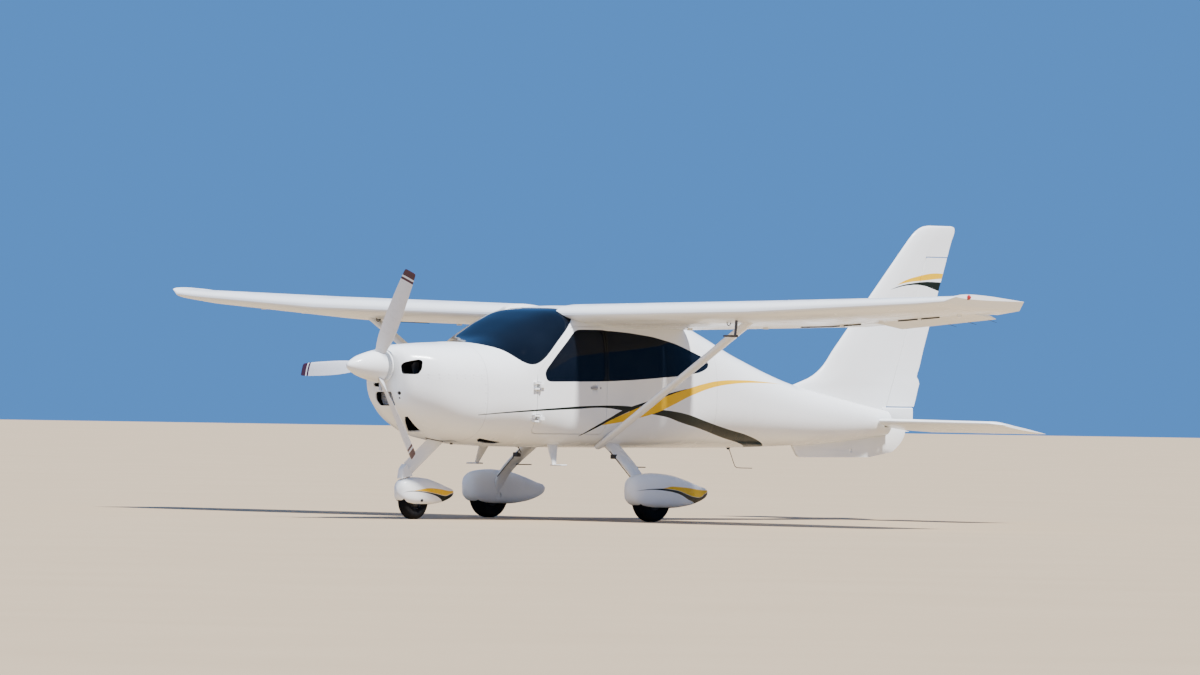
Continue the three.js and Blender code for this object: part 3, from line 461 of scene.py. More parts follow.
class Graph(Nodes):
    """The nodes of one procedural material."""

    def __init__(self, name: str) -> None:
        """Starts an empty material with its output and shader."""
        self.material = bpy.data.materials.new(name)
        self.material.use_nodes = True
        super().__init__(self.material.node_tree)
        self.tree.nodes.clear()
        self.shader = self.node("ShaderNodeBsdfPrincipled")
        self.node("ShaderNodeOutputMaterial", {"Surface": self.shader.outputs["BSDF"]})
        self.place = self.node("ShaderNodeTexCoord").outputs["Object"]

    def set(self, name: str, value: object) -> None:
        """Links or sets one input of the shader."""
        self.put(self.shader.inputs[name], value)

    def math(self, way: str, a: object, b: object = 0.0) -> Socket:
        """One step of arithmetic."""
        return self.node("ShaderNodeMath", {0: a, 1: b}, operation=way).outputs[0]

    def mix(self, share: object, a: object, b: object) -> Socket:
        """Blends two colours by a share."""
        return self.node("ShaderNodeMix", {0: share, 6: a, 7: b}, data_type="RGBA").outputs[2]

    def noise(self, scale: float, detail: float = 3.0, stretch: Triple = (1, 1, 1)) -> Socket:
        """Noise in the object's own space."""
        mapped = self.node("ShaderNodeMapping", {"Vector": self.place, "Scale": stretch}).outputs[0]
        return self.node("ShaderNodeTexNoise",
                         {"Vector": mapped, "Scale": scale, "Detail": detail}).outputs["Fac"]

    def between(self, value: object, low: float, high: float, start: float = 0.0, end: float = 1.0) -> Socket:
        """Value moved from one range to another and held inside it."""
        return self.node("ShaderNodeMapRange",
                         {"Value": value, "From Min": low, "From Max": high, "To Min": start,
                          "To Max": end}).outputs[0]

    def uneven(self, value: object, start: float = 0.0, end: float = 1.0) -> Socket:
        """The middle range of a noise, moved between two values."""
        return self.between(value, 0.3, 0.7, start, end)

    def bump(self, height: object, strength: float, distance: float) -> None:
        """Gives the shader a bump."""
        made = self.node("ShaderNodeBump", {"Height": height, "Strength": strength, "Distance": distance})
        self.put(self.shader.inputs["Normal"], made.outputs["Normal"])


@dataclass(frozen=True)
class Finish:
    """A look with a procedural material."""

    name: str

    def material(self) -> bpy.types.Material:
        """Builds the node material."""
        graph = Graph(self.name)
        self.lay(graph)
        return graph.material

    def lay(self, graph: Graph) -> None:
        """Sets the shader's inputs."""
        raise NotImplementedError


@dataclass(frozen=True)
class Band:
    """A painted band between two curves of height over aft."""

    colour: Triple
    lower: Outline
    upper: Outline
    soft: float = 0.002

    def curve(self, graph: Graph, aft: Socket, edge: Outline) -> Socket:
        """Height of an edge at each aft."""
        first, last = edge[0][0], edge[-1][0]
        low = min(z for _, z in edge) - 0.1
        tall = max(z for _, z in edge) + 0.1 - low
        share = graph.between(aft, first, last)
        made = graph.node("ShaderNodeFloatCurve", {"Value": share})
        points = made.mapping.curves[0].points
        places = [((a - first) / (last - first), (z - low) / tall) for a, z in edge]
        points[0].location, points[1].location = places[0], places[-1]
        for place in places[1:-1]:
            points.new(*place)
        made.mapping.update()
        return graph.math("ADD", graph.math("MULTIPLY", made.outputs[0], tall), low)

    def mask(self, graph: Graph, aft: Socket, height: Socket) -> Socket:
        """1 inside the band and 0 outside."""
        above = graph.math("SUBTRACT", height, self.curve(graph, aft, self.lower))
        below = graph.math("SUBTRACT", self.curve(graph, aft, self.upper), height)
        inside = graph.math("MINIMUM", above, below)
        start = max(self.lower[0][0], self.upper[0][0])
        end = min(self.lower[-1][0], self.upper[-1][0])
        along = graph.math("MINIMUM", graph.math("SUBTRACT", aft, start), graph.math("SUBTRACT", end, aft))
        return graph.between(graph.math("MINIMUM", inside, along), 0.0, self.soft)


WHITE: Triple = (0.83, 0.84, 0.83)
DARK_GREEN: Triple = (0.002, 0.008, 0.006)
GOLD: Triple = (0.78, 0.45, 0.0)
NEAR_BLACK: Triple = (0.002, 0.003, 0.004)


@dataclass(frozen=True)
class Paint(Finish):
    """Glossy white paint with painted bands, faint grime low down and a slight orange peel."""

    slot: ClassVar[str] = "white_paint"
    bands: tuple[Band, ...] = ()
    base: Triple = WHITE
    shine: float = 0.2
    beyond: float = 0.0
    seams: tuple[float, ...] = ()
    seam_depth: float = 0.32
    seam_half: float = 0.003

    def lay(self, graph: Graph) -> None:
        """Sets the shader's inputs."""
        axes = graph.node("ShaderNodeSeparateXYZ", {0: graph.place})
        aft = graph.math("ADD", axes.outputs[1], HALF_LENGTH)
        height = axes.outputs[2]
        patches = graph.noise(1.7, 5.0)
        low_down = graph.between(height, 1.2, 0.15)
        grime = graph.math("MULTIPLY", graph.math("MULTIPLY", low_down, graph.between(patches, 0.42, 0.8)),
                           0.34)
        colour = graph.mix(grime, self.base, (0.55, 0.52, 0.46))
        out = graph.math("ABSOLUTE", axes.outputs[0])
        outer = graph.between(out, self.beyond - 0.001, self.beyond + 0.001)
        for band in self.bands:
            share = band.mask(graph, aft, height)
            if self.beyond > 0:
                share = graph.math("MULTIPLY", share, outer)
            colour = graph.mix(share, colour, band.colour)
        for seam in self.seams:
            away = graph.math("ABSOLUTE", graph.math("SUBTRACT", aft, seam))
            colour = graph.mix(graph.between(away, self.seam_half, self.seam_half * 0.4, 0.0,
                                             self.seam_depth), colour, (0.12, 0.12, 0.12))
        graph.set("Base Color", colour)
        rough = graph.uneven(graph.noise(6.0, 4.0), self.shine - 0.05, self.shine + 0.08)
        graph.set("Roughness", graph.math("ADD", rough, graph.math("MULTIPLY", grime, 0.5)))
        graph.set("Specular IOR Level", 0.14)
        graph.set("Coat Weight", 0.04)
        graph.set("Coat Roughness", 0.06)
        graph.bump(graph.noise(240.0, 2.0), 0.04, 0.0006)


@dataclass(frozen=True)
class BladePaint(Finish):
    """Pale blade paint with a dark red tip and a thin dark band, worn along its leading edge."""

    slot: ClassVar[str] = "blade_paint"
    centre: float
    tip: float
    stripe: float

    def lay(self, graph: Graph) -> None:
        """Sets the shader's inputs."""
        axes = graph.node("ShaderNodeSeparateXYZ", {0: graph.place})
        height = graph.math("SUBTRACT", axes.outputs[2], self.centre)
        reach = graph.math("SQRT",
                           graph.math("ADD", graph.math("POWER", axes.outputs[0], 2.0),
                                      graph.math("POWER", height, 2.0)))
        worn = graph.between(graph.noise(30.0, 5.0), 0.55, 0.75)
        colour = graph.mix(graph.math("MULTIPLY", worn, 0.25), (0.66, 0.67, 0.69), (0.42, 0.42, 0.43))
        colour = graph.mix(graph.between(reach, self.tip, self.tip + 0.002), colour, (0.05, 0.009, 0.022))
        band = graph.math("MULTIPLY", graph.between(reach, self.stripe, self.stripe + 0.002),
                          graph.between(reach, self.stripe + 0.022, self.stripe + 0.02))
        colour = graph.mix(band, colour, (0.05, 0.01, 0.028))
        graph.set("Base Color", colour)
        graph.set("Roughness", graph.uneven(graph.noise(14.0), 0.24, 0.38))
        graph.bump(graph.noise(180.0, 2.0), 0.05, 0.0005)


@dataclass(frozen=True)
class Metal(Finish):
    """Bare or painted metal with fine scratches and a change of tone."""

    colour: Triple
    rough: float = 0.35
    metallic: float = 1.0
    grain: float = 90.0
    slot: str = "steel"

    def lay(self, graph: Graph) -> None:
        """Sets the shader's inputs."""
        tone = graph.noise(9.0, 4.0)
        darker = tuple(c * 0.62 for c in self.colour)
        graph.set("Base Color", graph.mix(graph.between(tone, 0.35, 0.75), self.colour, darker))
        graph.set("Metallic", self.metallic)
        scratches = graph.noise(self.grain, 6.0, (1.0, 6.0, 1.0))
        graph.set("Roughness", graph.uneven(scratches, self.rough - 0.08, self.rough + 0.12))
        graph.bump(scratches, 0.12, 0.0004)


@dataclass(frozen=True)
class Rubber(Finish):
    """Tyre rubber, dusty where it meets the ground."""

    slot: ClassVar[str] = "tyre"

    def lay(self, graph: Graph) -> None:
        """Sets the shader's inputs."""
        dust = graph.between(graph.noise(22.0, 6.0), 0.5, 0.85, 0.0, 0.16)
        graph.set("Base Color", graph.mix(dust, (0.003, 0.003, 0.0035), (0.05, 0.044, 0.038)))
        graph.set("Specular IOR Level", 0.12)
        graph.set("Roughness", graph.uneven(graph.noise(60.0), 0.68, 0.92))
        graph.bump(graph.noise(300.0, 3.0), 0.25, 0.0006)


@dataclass(frozen=True)
class Tint(Finish):
    """Dark tinted glazing."""

    slot: ClassVar[str] = "tinted_glass"
    cover: float = 0.94

    def lay(self, graph: Graph) -> None:
        """Sets the shader's inputs."""
        tone = graph.uneven(graph.noise(2.5, 2.0))
        graph.set("Base Color", graph.mix(tone, (0.003, 0.005, 0.01), (0.005, 0.008, 0.015)))
        graph.set("Roughness", graph.uneven(graph.noise(4.0), 0.03, 0.07))
        graph.set("Alpha", self.cover)
        graph.set("IOR", 1.22)
        graph.set("Specular IOR Level", 0.4)


@dataclass(frozen=True)
class Moulding(Finish):
    """Moulded plastic or dark trim with a fine grain."""

    slot: ClassVar[str] = "black_plastic"
    colour: Triple
    rough: float = 0.6
    grain: float = 420.0
    specular: float = 0.4

    def lay(self, graph: Graph) -> None:
        """Sets the shader's inputs."""
        tone = graph.uneven(graph.noise(5.0, 3.0))
        paler = tuple(min(c * 1.5 + 0.004, 1.0) for c in self.colour)
        graph.set("Base Color", graph.mix(tone, self.colour, paler))
        graph.set("Roughness", graph.uneven(graph.noise(40.0), self.rough - 0.08, self.rough + 0.08))
        graph.set("Specular IOR Level", self.specular)
        graph.bump(graph.noise(self.grain, 2.0), 0.15, 0.0005)


@dataclass(frozen=True)
class Leather(Finish):
    """Seat leather with pebbled grain and paler worn crowns."""

    slot: ClassVar[str] = "seat_leather"
    colour: Triple

    def lay(self, graph: Graph) -> None:
        """Sets the shader's inputs."""
        cells = graph.node("ShaderNodeTexVoronoi",
                           {"Vector": graph.place, "Scale": 320.0}).outputs["Distance"]
        worn = graph.between(graph.noise(11.0, 5.0), 0.45, 0.75, 0.0, 0.5)
        paler = tuple(min(c * 2.2, 1.0) for c in self.colour)
        graph.set("Base Color", graph.mix(worn, self.colour, paler))
        graph.set("Roughness", graph.between(cells, 0.0, 0.6, 0.42, 0.62))
        graph.bump(cells, 0.3, 0.0008)


@dataclass(frozen=True)
class Lamp(Finish):
    """Coloured lamp lens."""

    slot: ClassVar[str] = "tinted_glass"
    colour: Triple

    def lay(self, graph: Graph) -> None:
        """Sets the shader's inputs."""
        ribs = graph.noise(120.0, 1.0, (1.0, 1.0, 6.0))
        darker = tuple(c * 0.6 for c in self.colour)
        graph.set("Base Color", graph.mix(graph.uneven(ribs), self.colour, darker))
        graph.set("Roughness", graph.uneven(ribs, 0.06, 0.16))
        graph.set("Coat Weight", 0.8)


BODY_BANDS = (
    Band(DARK_GREEN,
         ((1.0, 0.838), (1.367, 0.866), (1.967, 0.897), (2.282, 0.909), (2.511, 0.888), (2.98, 0.845),
          (3.198, 0.799), (3.578, 0.736), (3.935, 0.673), (4.188, 0.636), (4.7, 0.54)),
         ((1.0, 0.845), (1.366, 0.879), (1.779, 0.908), (2.1, 0.925), (2.452, 0.931), (2.626, 0.923),
          (2.975, 0.9), (3.238, 0.873), (3.532, 0.818), (3.914, 0.75), (4.233, 0.699), (4.7, 0.585))),
    Band(NEAR_BLACK, ((2.235, 1.1213), (2.3, 1.1222), (2.4, 1.127)),
         ((2.235, 1.536), (2.3, 1.536), (2.336, 1.532), (2.4, 1.528)), 0.001),
    Band(DARK_GREEN,
         ((2.06, 0.676), (2.2, 0.738), (2.36, 0.806), (2.581, 0.885), (2.812, 0.955), (3.024, 1.013),
          (3.286, 1.07)),
         ((2.06, 0.684), (2.2, 0.76), (2.356, 0.832), (2.511, 0.898), (2.812, 0.976), (3.011, 1.029),
          (3.286, 1.075))),
    Band(GOLD,
         ((2.274, 0.769), (2.473, 0.794), (2.7, 0.833), (2.883, 0.873), (3.103, 0.945), (3.339, 1.019),
          (3.657, 1.087), (3.948, 1.117), (4.25, 1.127), (4.7, 1.118)),
         ((2.274, 0.77), (2.378, 0.816), (2.581, 0.885), (2.812, 0.957), (3.024, 1.016), (3.286, 1.074),
          (3.512, 1.116), (3.747, 1.142), (4.044, 1.149), (4.349, 1.141), (4.7, 1.119))))
FIN_BANDS = (
    Band(GOLD, ((6.25, 1.956), (6.42, 1.985), (6.605, 2.0), (6.69, 2.008), (6.76, 2.014), (6.84, 2.018)),
         ((6.25, 1.958), (6.37, 2.004), (6.52, 2.036), (6.642, 2.056), (6.74, 2.063), (6.84, 2.06))),
    Band(DARK_GREEN, ((6.17, 1.915), (6.448, 1.96), (6.605, 1.953), (6.7, 1.933), (6.84, 1.898)),
         ((6.17, 1.917), (6.3, 1.955), (6.448, 1.977), (6.605, 1.99), (6.763, 1.99), (6.84, 1.987))))
MAIN_COVER_BANDS = (
    Band(DARK_GREEN,
         ((2.25, 0.248), (2.315, 0.255), (2.412, 0.259), (2.518, 0.253), (2.641, 0.239), (2.747, 0.215),
          (2.834, 0.183), (2.933, 0.155), (3.0, 0.12), (3.2, 0.08)),
         ((2.25, 0.249), (2.315, 0.261), (2.412, 0.269), (2.506, 0.271), (2.603, 0.264), (2.704, 0.252),
          (2.775, 0.236), (2.843, 0.219), (2.947, 0.201), (3.02, 0.201), (3.081, 0.227), (3.2, 0.26))),
    Band(GOLD,
         ((2.506, 0.271), (2.603, 0.264), (2.704, 0.252), (2.775, 0.236), (2.843, 0.219), (2.947, 0.201),
          (3.02, 0.201), (3.081, 0.227), (3.2, 0.26)),
         ((2.506, 0.272), (2.568, 0.281), (2.605, 0.287), (2.707, 0.285), (2.848, 0.277), (2.996, 0.262),
          (3.091, 0.258), (3.2, 0.262))))
NOSE_COVER_BANDS = (
    Band(DARK_GREEN,
         ((0.59, 0.214), (0.646, 0.221), (0.727, 0.219), (0.817, 0.21), (0.918, 0.191), (0.988, 0.168),
          (1.06, 0.13), (1.25, 0.09)),
         ((0.59, 0.216), (0.646, 0.228), (0.727, 0.227), (0.84, 0.218), (0.972, 0.201), (1.07, 0.19),
          (1.142, 0.205), (1.25, 0.23))),
    Band(GOLD,
         ((0.676, 0.227), (0.747, 0.226), (0.84, 0.218), (0.972, 0.201), (1.07, 0.19), (1.142, 0.205),
          (1.25, 0.23)),
         ((0.676, 0.229), (0.747, 0.241), (0.842, 0.251), (0.974, 0.245), (1.15, 0.228), (1.25, 0.234))))

BODY_PAINT = Paint("white_body_paint", BODY_BANDS, seams=(1.07, 3.7))
PLAIN_PAINT = Paint("white_paint")
SPINNER_PAINT = Paint("white_spinner_paint", seams=(0.36,), seam_depth=0.75, seam_half=0.0055)
FIN_PAINT = Paint("white_fin_paint", FIN_BANDS)
MAIN_COVER_PAINT = Paint("white_main_cover_paint", MAIN_COVER_BANDS, beyond=0.937)
NOSE_COVER_PAINT = Paint("white_nose_cover_paint", NOSE_COVER_BANDS)
BLADE_PAINT = BladePaint("blade_paint", 1.22, 0.795, 0.76)
ALLOY = Metal("brushed_alloy", (0.62, 0.63, 0.64), 0.3, slot="alloy")
# Pale radiator alloy, its own colour made brighter and mostly diffuse as painted light, so that it shows lit
# inside the shaded chin inlet.
RADIATOR_PAINTED_LIGHT = Metal("radiator_alloy_painted_light", (0.72, 0.73, 0.75), 0.55, 0.3, slot="alloy")
CAST = Metal("cast_metal", (0.3, 0.3, 0.31), 0.5)
STEEL = Metal("painted_steel", (0.36, 0.37, 0.38), 0.42, 0.4)
DARK_STEEL = Metal("dark_steel", (0.1, 0.1, 0.11), 0.45, 0.8)
# Near-black wheel rims: painted shade for wheels sitting dark inside their covers.
RIM_PAINTED_SHADE = Metal("rim_painted_shade", (0.02, 0.02, 0.022), 0.55, 0.1, slot="alloy")
TYRE = Rubber("tyre_rubber")
WINDOW = Tint("window_tint")
BLACK = Moulding("black_moulding", (0.013, 0.013, 0.014))
# Near-black, almost unreflective finish: painted shade in the ducts, the belly slot and the stabilator's
# pivot slots.
PAINTED_SHADE_BLACK = Moulding("painted_shade_black", (0.0015, 0.0015, 0.0018), 0.92, 160.0, 0.04)
TRIM = Moulding("grey_cabin_trim", (0.22, 0.21, 0.2), 0.7)
HIDE = Leather("seat_leather", (0.05, 0.038, 0.03))
RED_LENS = Lamp("red_lens", (0.5, 0.01, 0.01))
GREEN_LENS = Lamp("green_lens", (0.01, 0.3, 0.08))
CLEAR_LENS = Lamp("clear_lens", (0.75, 0.78, 0.8))


@cache
def material_of(finish: Finish) -> bpy.types.Material:
    """The material of a finish, built once."""
    return finish.material()


def place(name: str, piece: Piece, finish: Finish, *nodes: str, body: str = "airframe", slot: str = "",
          angle: float = 0.62) -> Piece:
    """Finishes a piece: name, shading, material, the body it rides on and the nodes it stands for.

    Args:
        name: the piece's name.
        piece: the finished shape.
        finish: its finish.
        nodes: CAD nodes that it replaces, where that isn't just the one of its own name.
        body: the body that carries it.
        slot: the record's material slot, where it isn't the finish's own; not used.
        angle: edges sharper than this stay sharp.

    Returns:
        The same piece.
    """
    piece.name = name
    piece.data.name = name
    piece.data.shade_smooth()
    piece.data.set_sharp_from_angle(angle=angle)
    piece.data.materials.clear()
    piece.data.materials.append(material_of(finish))
    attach(piece, body)
    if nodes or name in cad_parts:
        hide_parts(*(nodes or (name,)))
    LOG.info("%s on %s: %d faces", piece.name, body, len(piece.data.polygons))
    return piece


class Unit(Enum):
    """Small forms that Geometry Nodes repeat."""

    STUD = "stud"
    PLATE = "plate"


@dataclass
class Repeat:
    """One mesh of many small fittings, set out by Geometry Nodes on points that face outwards."""

    name: str
    finish: Finish
    unit: Unit
    size: Triple
    spots: list[tuple[Vector, Vector]]
    vary: float = 0.04
    body: str = "airframe"
    seed: int = 11

    def form(self, wires: Nodes, size: Socket) -> Socket:
        """The small form: a stud of radius, top radius and depth, or a plate of three sides."""
        if self.unit is Unit.PLATE:
            return wires.node("GeometryNodeMeshCube", {"Size": size}).outputs["Mesh"]
        radius, top, depth = wires.node("ShaderNodeSeparateXYZ", {0: size}).outputs
        return wires.node("GeometryNodeMeshCone",
                          {"Vertices": 10, "Radius Bottom": radius, "Radius Top": top,
                           "Depth": depth}).outputs["Mesh"]

    def tree(self) -> tuple[bpy.types.NodeTree, dict[str, str]]:
        """Builds the node tree.

        Returns:
            The tree, and the identifier of each named input.
        """
        tree = bpy.data.node_groups.new(f"{self.name}_nodes", "GeometryNodeTree")
        keys = {}
        for label, kind in (("Points", "Geometry"), ("Size", "Vector"), ("Variation", "Float"),
                            ("Seed", "Int"), ("Finish", "Material")):
            socket = tree.interface.new_socket(label, in_out="INPUT", socket_type=f"NodeSocket{kind}")
            keys[label] = socket.identifier
        tree.interface.new_socket("Fittings", in_out="OUTPUT", socket_type="NodeSocketGeometry")
        wires = Nodes(tree)
        given = wires.node("NodeGroupInput").outputs
        facing = wires.node("GeometryNodeInputNamedAttribute", {"Name": "facing"}, data_type="FLOAT_VECTOR")
        turn = wires.node("FunctionNodeAlignRotationToVector", {"Vector": facing.outputs["Attribute"]},
                          axis="Z")
        low, high = (wires.node("ShaderNodeMath", {0: 1.0, 1: given["Variation"]}, operation=way).outputs[0]
                     for way in ("SUBTRACT", "ADD"))
        chance = wires.node("FunctionNodeRandomValue", {2: low, 3: high, "Seed": given["Seed"]})
        copies = wires.node("GeometryNodeInstanceOnPoints",
                            {"Points": given["Points"], "Instance": self.form(wires, given["Size"]),
                             "Rotation": turn.outputs["Rotation"], "Scale": chance.outputs[1]})
        real = wires.node("GeometryNodeRealizeInstances", {"Geometry": copies.outputs["Instances"]})
        coat = wires.node("GeometryNodeSetMaterial",
                          {"Geometry": real.outputs["Geometry"], "Material": given["Finish"]})
        wires.node("NodeGroupOutput", {"Fittings": coat.outputs["Geometry"]})
        return tree, keys

    def build(self) -> Piece:
        """Makes the fittings as one mesh on their body."""
        mesh = mesh_of([spot for spot, _ in self.spots])
        facing = mesh.attributes.new("facing", "FLOAT_VECTOR", "POINT")
        for i, (_, outward) in enumerate(self.spots):
            facing.data[i].vector = outward
        piece = linked("fittings", mesh)
        tree, keys = self.tree()
        change = piece.modifiers.new("fittings", "NODES")
        change.node_group = tree
        change[keys["Size"]] = self.size
        change[keys["Variation"]] = self.vary
        change[keys["Seed"]] = self.seed
        change[keys["Finish"]] = material_of(self.finish)
        settle(piece)
        return place(self.name, piece, self.finish, body=self.body, angle=0.5)


def pocket(points: Sequence[Vector], outward: Vector, above: float, below: float) -> Piece:
    """Prism through an outline on a skin, from above it to below it along one direction."""
    return loft([[p + outward * above for p in points], [p - outward * below for p in points]])


@dataclass
class Hull:
    """The airframe's outer skin as superellipse sections."""

    rows: Table = (
        (0.402, 0.935, 1.354, 0.15, 1.19, 2.1), (0.445, 0.876, 1.374, 0.242, 1.145, 2.35),
        (0.52, 0.825, 1.39, 0.3, 1.12, 2.5), (0.68, 0.735, 1.402, 0.405, 1.08, 2.6),
        (0.87, 0.655, 1.412, 0.46, 1.04, 2.7), (1.07, 0.62, 1.42, 0.508, 1.01, 2.8),
        (1.21, 0.602, 1.432, 0.538, 1.01, 2.6), (1.38, 0.594, 1.466, 0.57, 1.005, 2.6),
        (1.54, 0.588, 1.536, 0.592, 1.0, 2.9), (1.76, 0.586, 1.634, 0.598, 1.0, 3.4),
        (1.98, 0.585, 1.7, 0.6, 1.0, 4.0), (2.45, 0.585, 1.73, 0.6, 1.0, 4.0),
        (3.0, 0.585, 1.712, 0.59, 1.01, 3.8), (3.36, 0.585, 1.655, 0.545, 1.02, 3.3),
        (3.7, 0.587, 1.546, 0.475, 1.02, 2.8), (4.2, 0.592, 1.358, 0.385, 0.96, 2.5),
        (4.95, 0.612, 1.128, 0.27, 0.88, 2.3), (5.52, 0.645, 1.02, 0.19, 0.84, 2.2),
        (6.02, 0.69, 0.935, 0.112, 0.815, 2.0), (6.165, 0.705, 0.912, 0.084, 0.812, 2.0))
    sides: int = 128
    step: float = 0.045
    front: float = 0.402
    firewall: float = 1.07
    bulkhead: float = 3.7
    tail_end: float = 6.165
    near: float = 0.004
    curve: Smooth = field(init=False)

    def __post_init__(self) -> None:
        """Prepares the curves along the airframe."""
        self.curve = Smooth(self.rows)

    def ring(self, aft: float, inset: float = 0.0, floor: float | None = None, ceiling: float = 9.0) -> Ring:
        """Section at one aft.

        Args:
            aft: where the section is.
            inset: how far inside the skin it lies.
            floor: how far above the belly line it starts, or the inset.
            ceiling: the highest it may reach.

        Returns:
            Points round the section.
        """
        low, high, half, wide, power = self.curve(aft)
        top = min(high - inset, ceiling)
        bottom = low + (inset if floor is None else floor)
        ring = []
        for c, s in circle(self.sides):
            reach = top - wide if s > 0 else wide - bottom
            ring.append(at((half - inset) * bulge(c, 2 / power), aft, wide + reach * bulge(s, 2 / power)))
        return ring

    def solid(self, start: float, end: float, inset: float = 0.0, floor: float | None = None,
              ceiling: float = 9.0) -> Piece:
        """Closed stretch of the hull."""
        places = spread(start, end, self.step)
        if start < 0.5:
            places = [*spread(start, 0.5, 0.015), *spread(0.5, end, self.step)[1:]]
        return loft([self.ring(aft, inset, floor, ceiling) for aft in places])

    def guard(self, start: float, end: float = 6.165) -> Piece:
        """A cutter that leaves a hair's gap to the hull."""
        return self.solid(start, end, -GAP)

    def out_at(self, aft: float, height: float, inset: float = 0.0) -> float:
        """Half width of the skin at a height."""
        low, high, half, wide, power = self.curve(aft)
        reach = (high - wide) if height > wide else (wide - low)
        share = min(abs(height - wide) / reach, 1.0)
        return (half - inset) * (1 - share ** power) ** (1 / power)

    def height_at(self, aft: float, out: float, upper: bool = True) -> float:
        """Height of the skin at a distance out."""
        low, high, half, wide, power = self.curve(aft)
        share = (1 - min(abs(out) / half, 1.0) ** power) ** (1 / power)
        return wide + (high - wide) * share if upper else wide - (wide - low) * share

    def spot(self, aft: float, height: float, side: int) -> tuple[Vector, Vector]:
        """Point of the skin at a height on one side, and its outward direction."""
        here, behind, above = (at(side * self.out_at(a, z), a, z)
                               for a, z in ((aft, height), (aft + self.near, height),
                                            (aft, height + self.near)))
        normal = (behind - here).cross(above - here).normalized()
        return here, normal if normal.x * side > 0 else -normal


HULL = Hull()


@dataclass
class Cabin:
    """Cabin shell, doors and glazing, cut from one hollow stretch of the hull."""

    wall: float = 0.03
    floor: float = 0.04
    ceiling: float = 1.6
    plate: float = 0.02
    move_gap: float = 0.006
    glass: Point = (0.004, 0.01)
    side_reach: Point = (0.38, 0.75)
    door_corner: float = 0.045
    pane_corner: float = 0.05
    seal_stretch: Point = (1.45, 2.45)
    seal_depth: Point = (0.003, 0.018)
    seal_gaps: Point = (0.0006, 0.0014)
    hinge_aft: float = 1.562
    hinge_out: float = 0.612
    hinge_inner: float = 0.572
    hinge_heights: Point = (0.82, 1.08)
    pin: float = 0.006
    pin_half: float = 0.03
    knuckle: float = 0.013
    knuckle_half: float = 0.014
    notch_half: float = 0.034
    windshield: Outline = (
        (1.1, 1.422), (1.165, 1.42), (1.25, 1.393), (1.321, 1.363), (1.381, 1.308), (1.444, 1.261),
        (1.512, 1.246), (1.582, 1.263), (1.66, 1.312), (1.814, 1.45), (1.959, 1.572), (2.048, 1.637),
        (2.07, 1.669), (2.07, 1.8), (1.0, 1.8), (1.0, 1.5))
    door: Outline = ((1.545, 0.735), (1.57, 0.7), (2.29, 0.7), (2.312, 0.73), (2.312, 1.558),
                     (1.975, 1.558), (1.56, 1.192), (1.545, 1.16))
    door_window: Outline = ((1.64, 1.128), (1.674, 1.114), (2.292, 1.122), (2.292, 1.536), (2.03, 1.536),
                            (1.972, 1.512), (1.764, 1.329), (1.622, 1.192))
    rear_window: Outline = ((2.336, 1.124), (2.64, 1.138), (3.2, 1.176), (3.45, 1.204), (3.57, 1.24),
                            (3.59, 1.27), (3.56, 1.306), (3.5, 1.332), (3.137, 1.434), (2.872, 1.487),
                            (2.599, 1.516), (2.336, 1.532))
    handle: Point = (2.18, 1.069)
    belly_slot: tuple[Triple, ...] = ((0.297, 1.157, 0.644), (0.328, 1.16, 0.655), (0.313, 1.298, 0.637),
                                      (0.304, 1.43, 0.621), (0.241, 1.413, 0.609), (0.228, 1.325, 0.612),
                                      (0.248, 1.216, 0.624))
    belly_down: Triple = (0.42, 0.0, -0.91)

    def slab(self, outline: Sequence[Point], side: int) -> Piece:
        """Side cutter on one side of the cabin."""
        x0, x1 = sorted(side * reach for reach in self.side_reach)
        return side_prism(outline, x0, x1)

    def band(self) -> Piece:
        """The thin layer that all panes are cut from."""
        outer = HULL.solid(HULL.firewall + 0.001, HULL.bulkhead - 0.001, self.glass[0])
        inner = HULL.solid(HULL.firewall, HULL.bulkhead, self.glass[1])
        return carve(outer, less(inner))

    def walls(self) -> Piece:
        """The hollow cabin before its openings are cut."""
        outer = HULL.solid(HULL.firewall, HULL.bulkhead)
        room = HULL.solid(HULL.firewall + self.plate, HULL.bulkhead - self.plate, self.wall, self.floor,
                          self.ceiling)
        return carve(outer, less(room))

    def hinge(self, side: int) -> tuple[list[Piece], ...]:
        """Hinge arms of the shell and knuckles of the door on one side."""
        arms, leaves = [], []
        for height in self.hinge_heights:
            x = on(side, self.hinge_inner, self.hinge_out - 0.004)
            for low in (height + self.pin_half / 2, height - self.pin_half):
                arms.append(block(x, (1.5, self.hinge_aft + 0.005), (low, low + self.pin_half / 2)))
            pin, knuckle = ((height - half, height + half) for half in (self.pin_half, self.knuckle_half))
            arms.append(bar(side * self.hinge_out, self.hinge_aft, pin, self.pin))
            leaves.append(block(x, (self.hinge_aft - 0.004, 1.61), knuckle))
            leaves.append(bar(side * self.hinge_out, self.hinge_aft, knuckle, self.knuckle))
        return arms, leaves

    def notches(self, side: int, inner: float, aft: Point, half: float) -> list[Step]:
        """Cuts that leave room for the hinges of one door."""
        return [less(block((side * inner, side * 0.67), aft, (height - half, height + half)))
                for height in self.hinge_heights]

    def seal(self, side: int, word: str) -> None:
        """Painted seal in the gap round a door."""
        start, end = self.seal_stretch
        outer = HULL.solid(start, end, self.seal_depth[0])
        core = HULL.solid(start - 0.01, end + 0.01, self.seal_depth[1])
        lines = [rounded(grown(self.door, gap), self.door_corner)
                 for gap in (self.move_gap - self.seal_gaps[0], self.seal_gaps[1])]
        seal = carve(outer, less(core), both(self.slab(lines[0], side)), less(self.slab(lines[1], side)),
                     *self.notches(side, 0.5, (1.49, 1.62), self.notch_half + 0.002))
        place(f"door_seal_{word}", seal, BODY_PAINT)

    def handle_room(self, side: int) -> Piece:
        """Shallow dish behind a door handle."""
        aft, height = self.handle
        out = HULL.out_at(aft, height)
        return turned([(0.0, -0.012), (0.02, -0.01), (0.034, 0.0), (0.036, 0.02), (0.0, 0.02)],
                      at(side * out, aft, height), Vector((side, 0, 0)), 40)

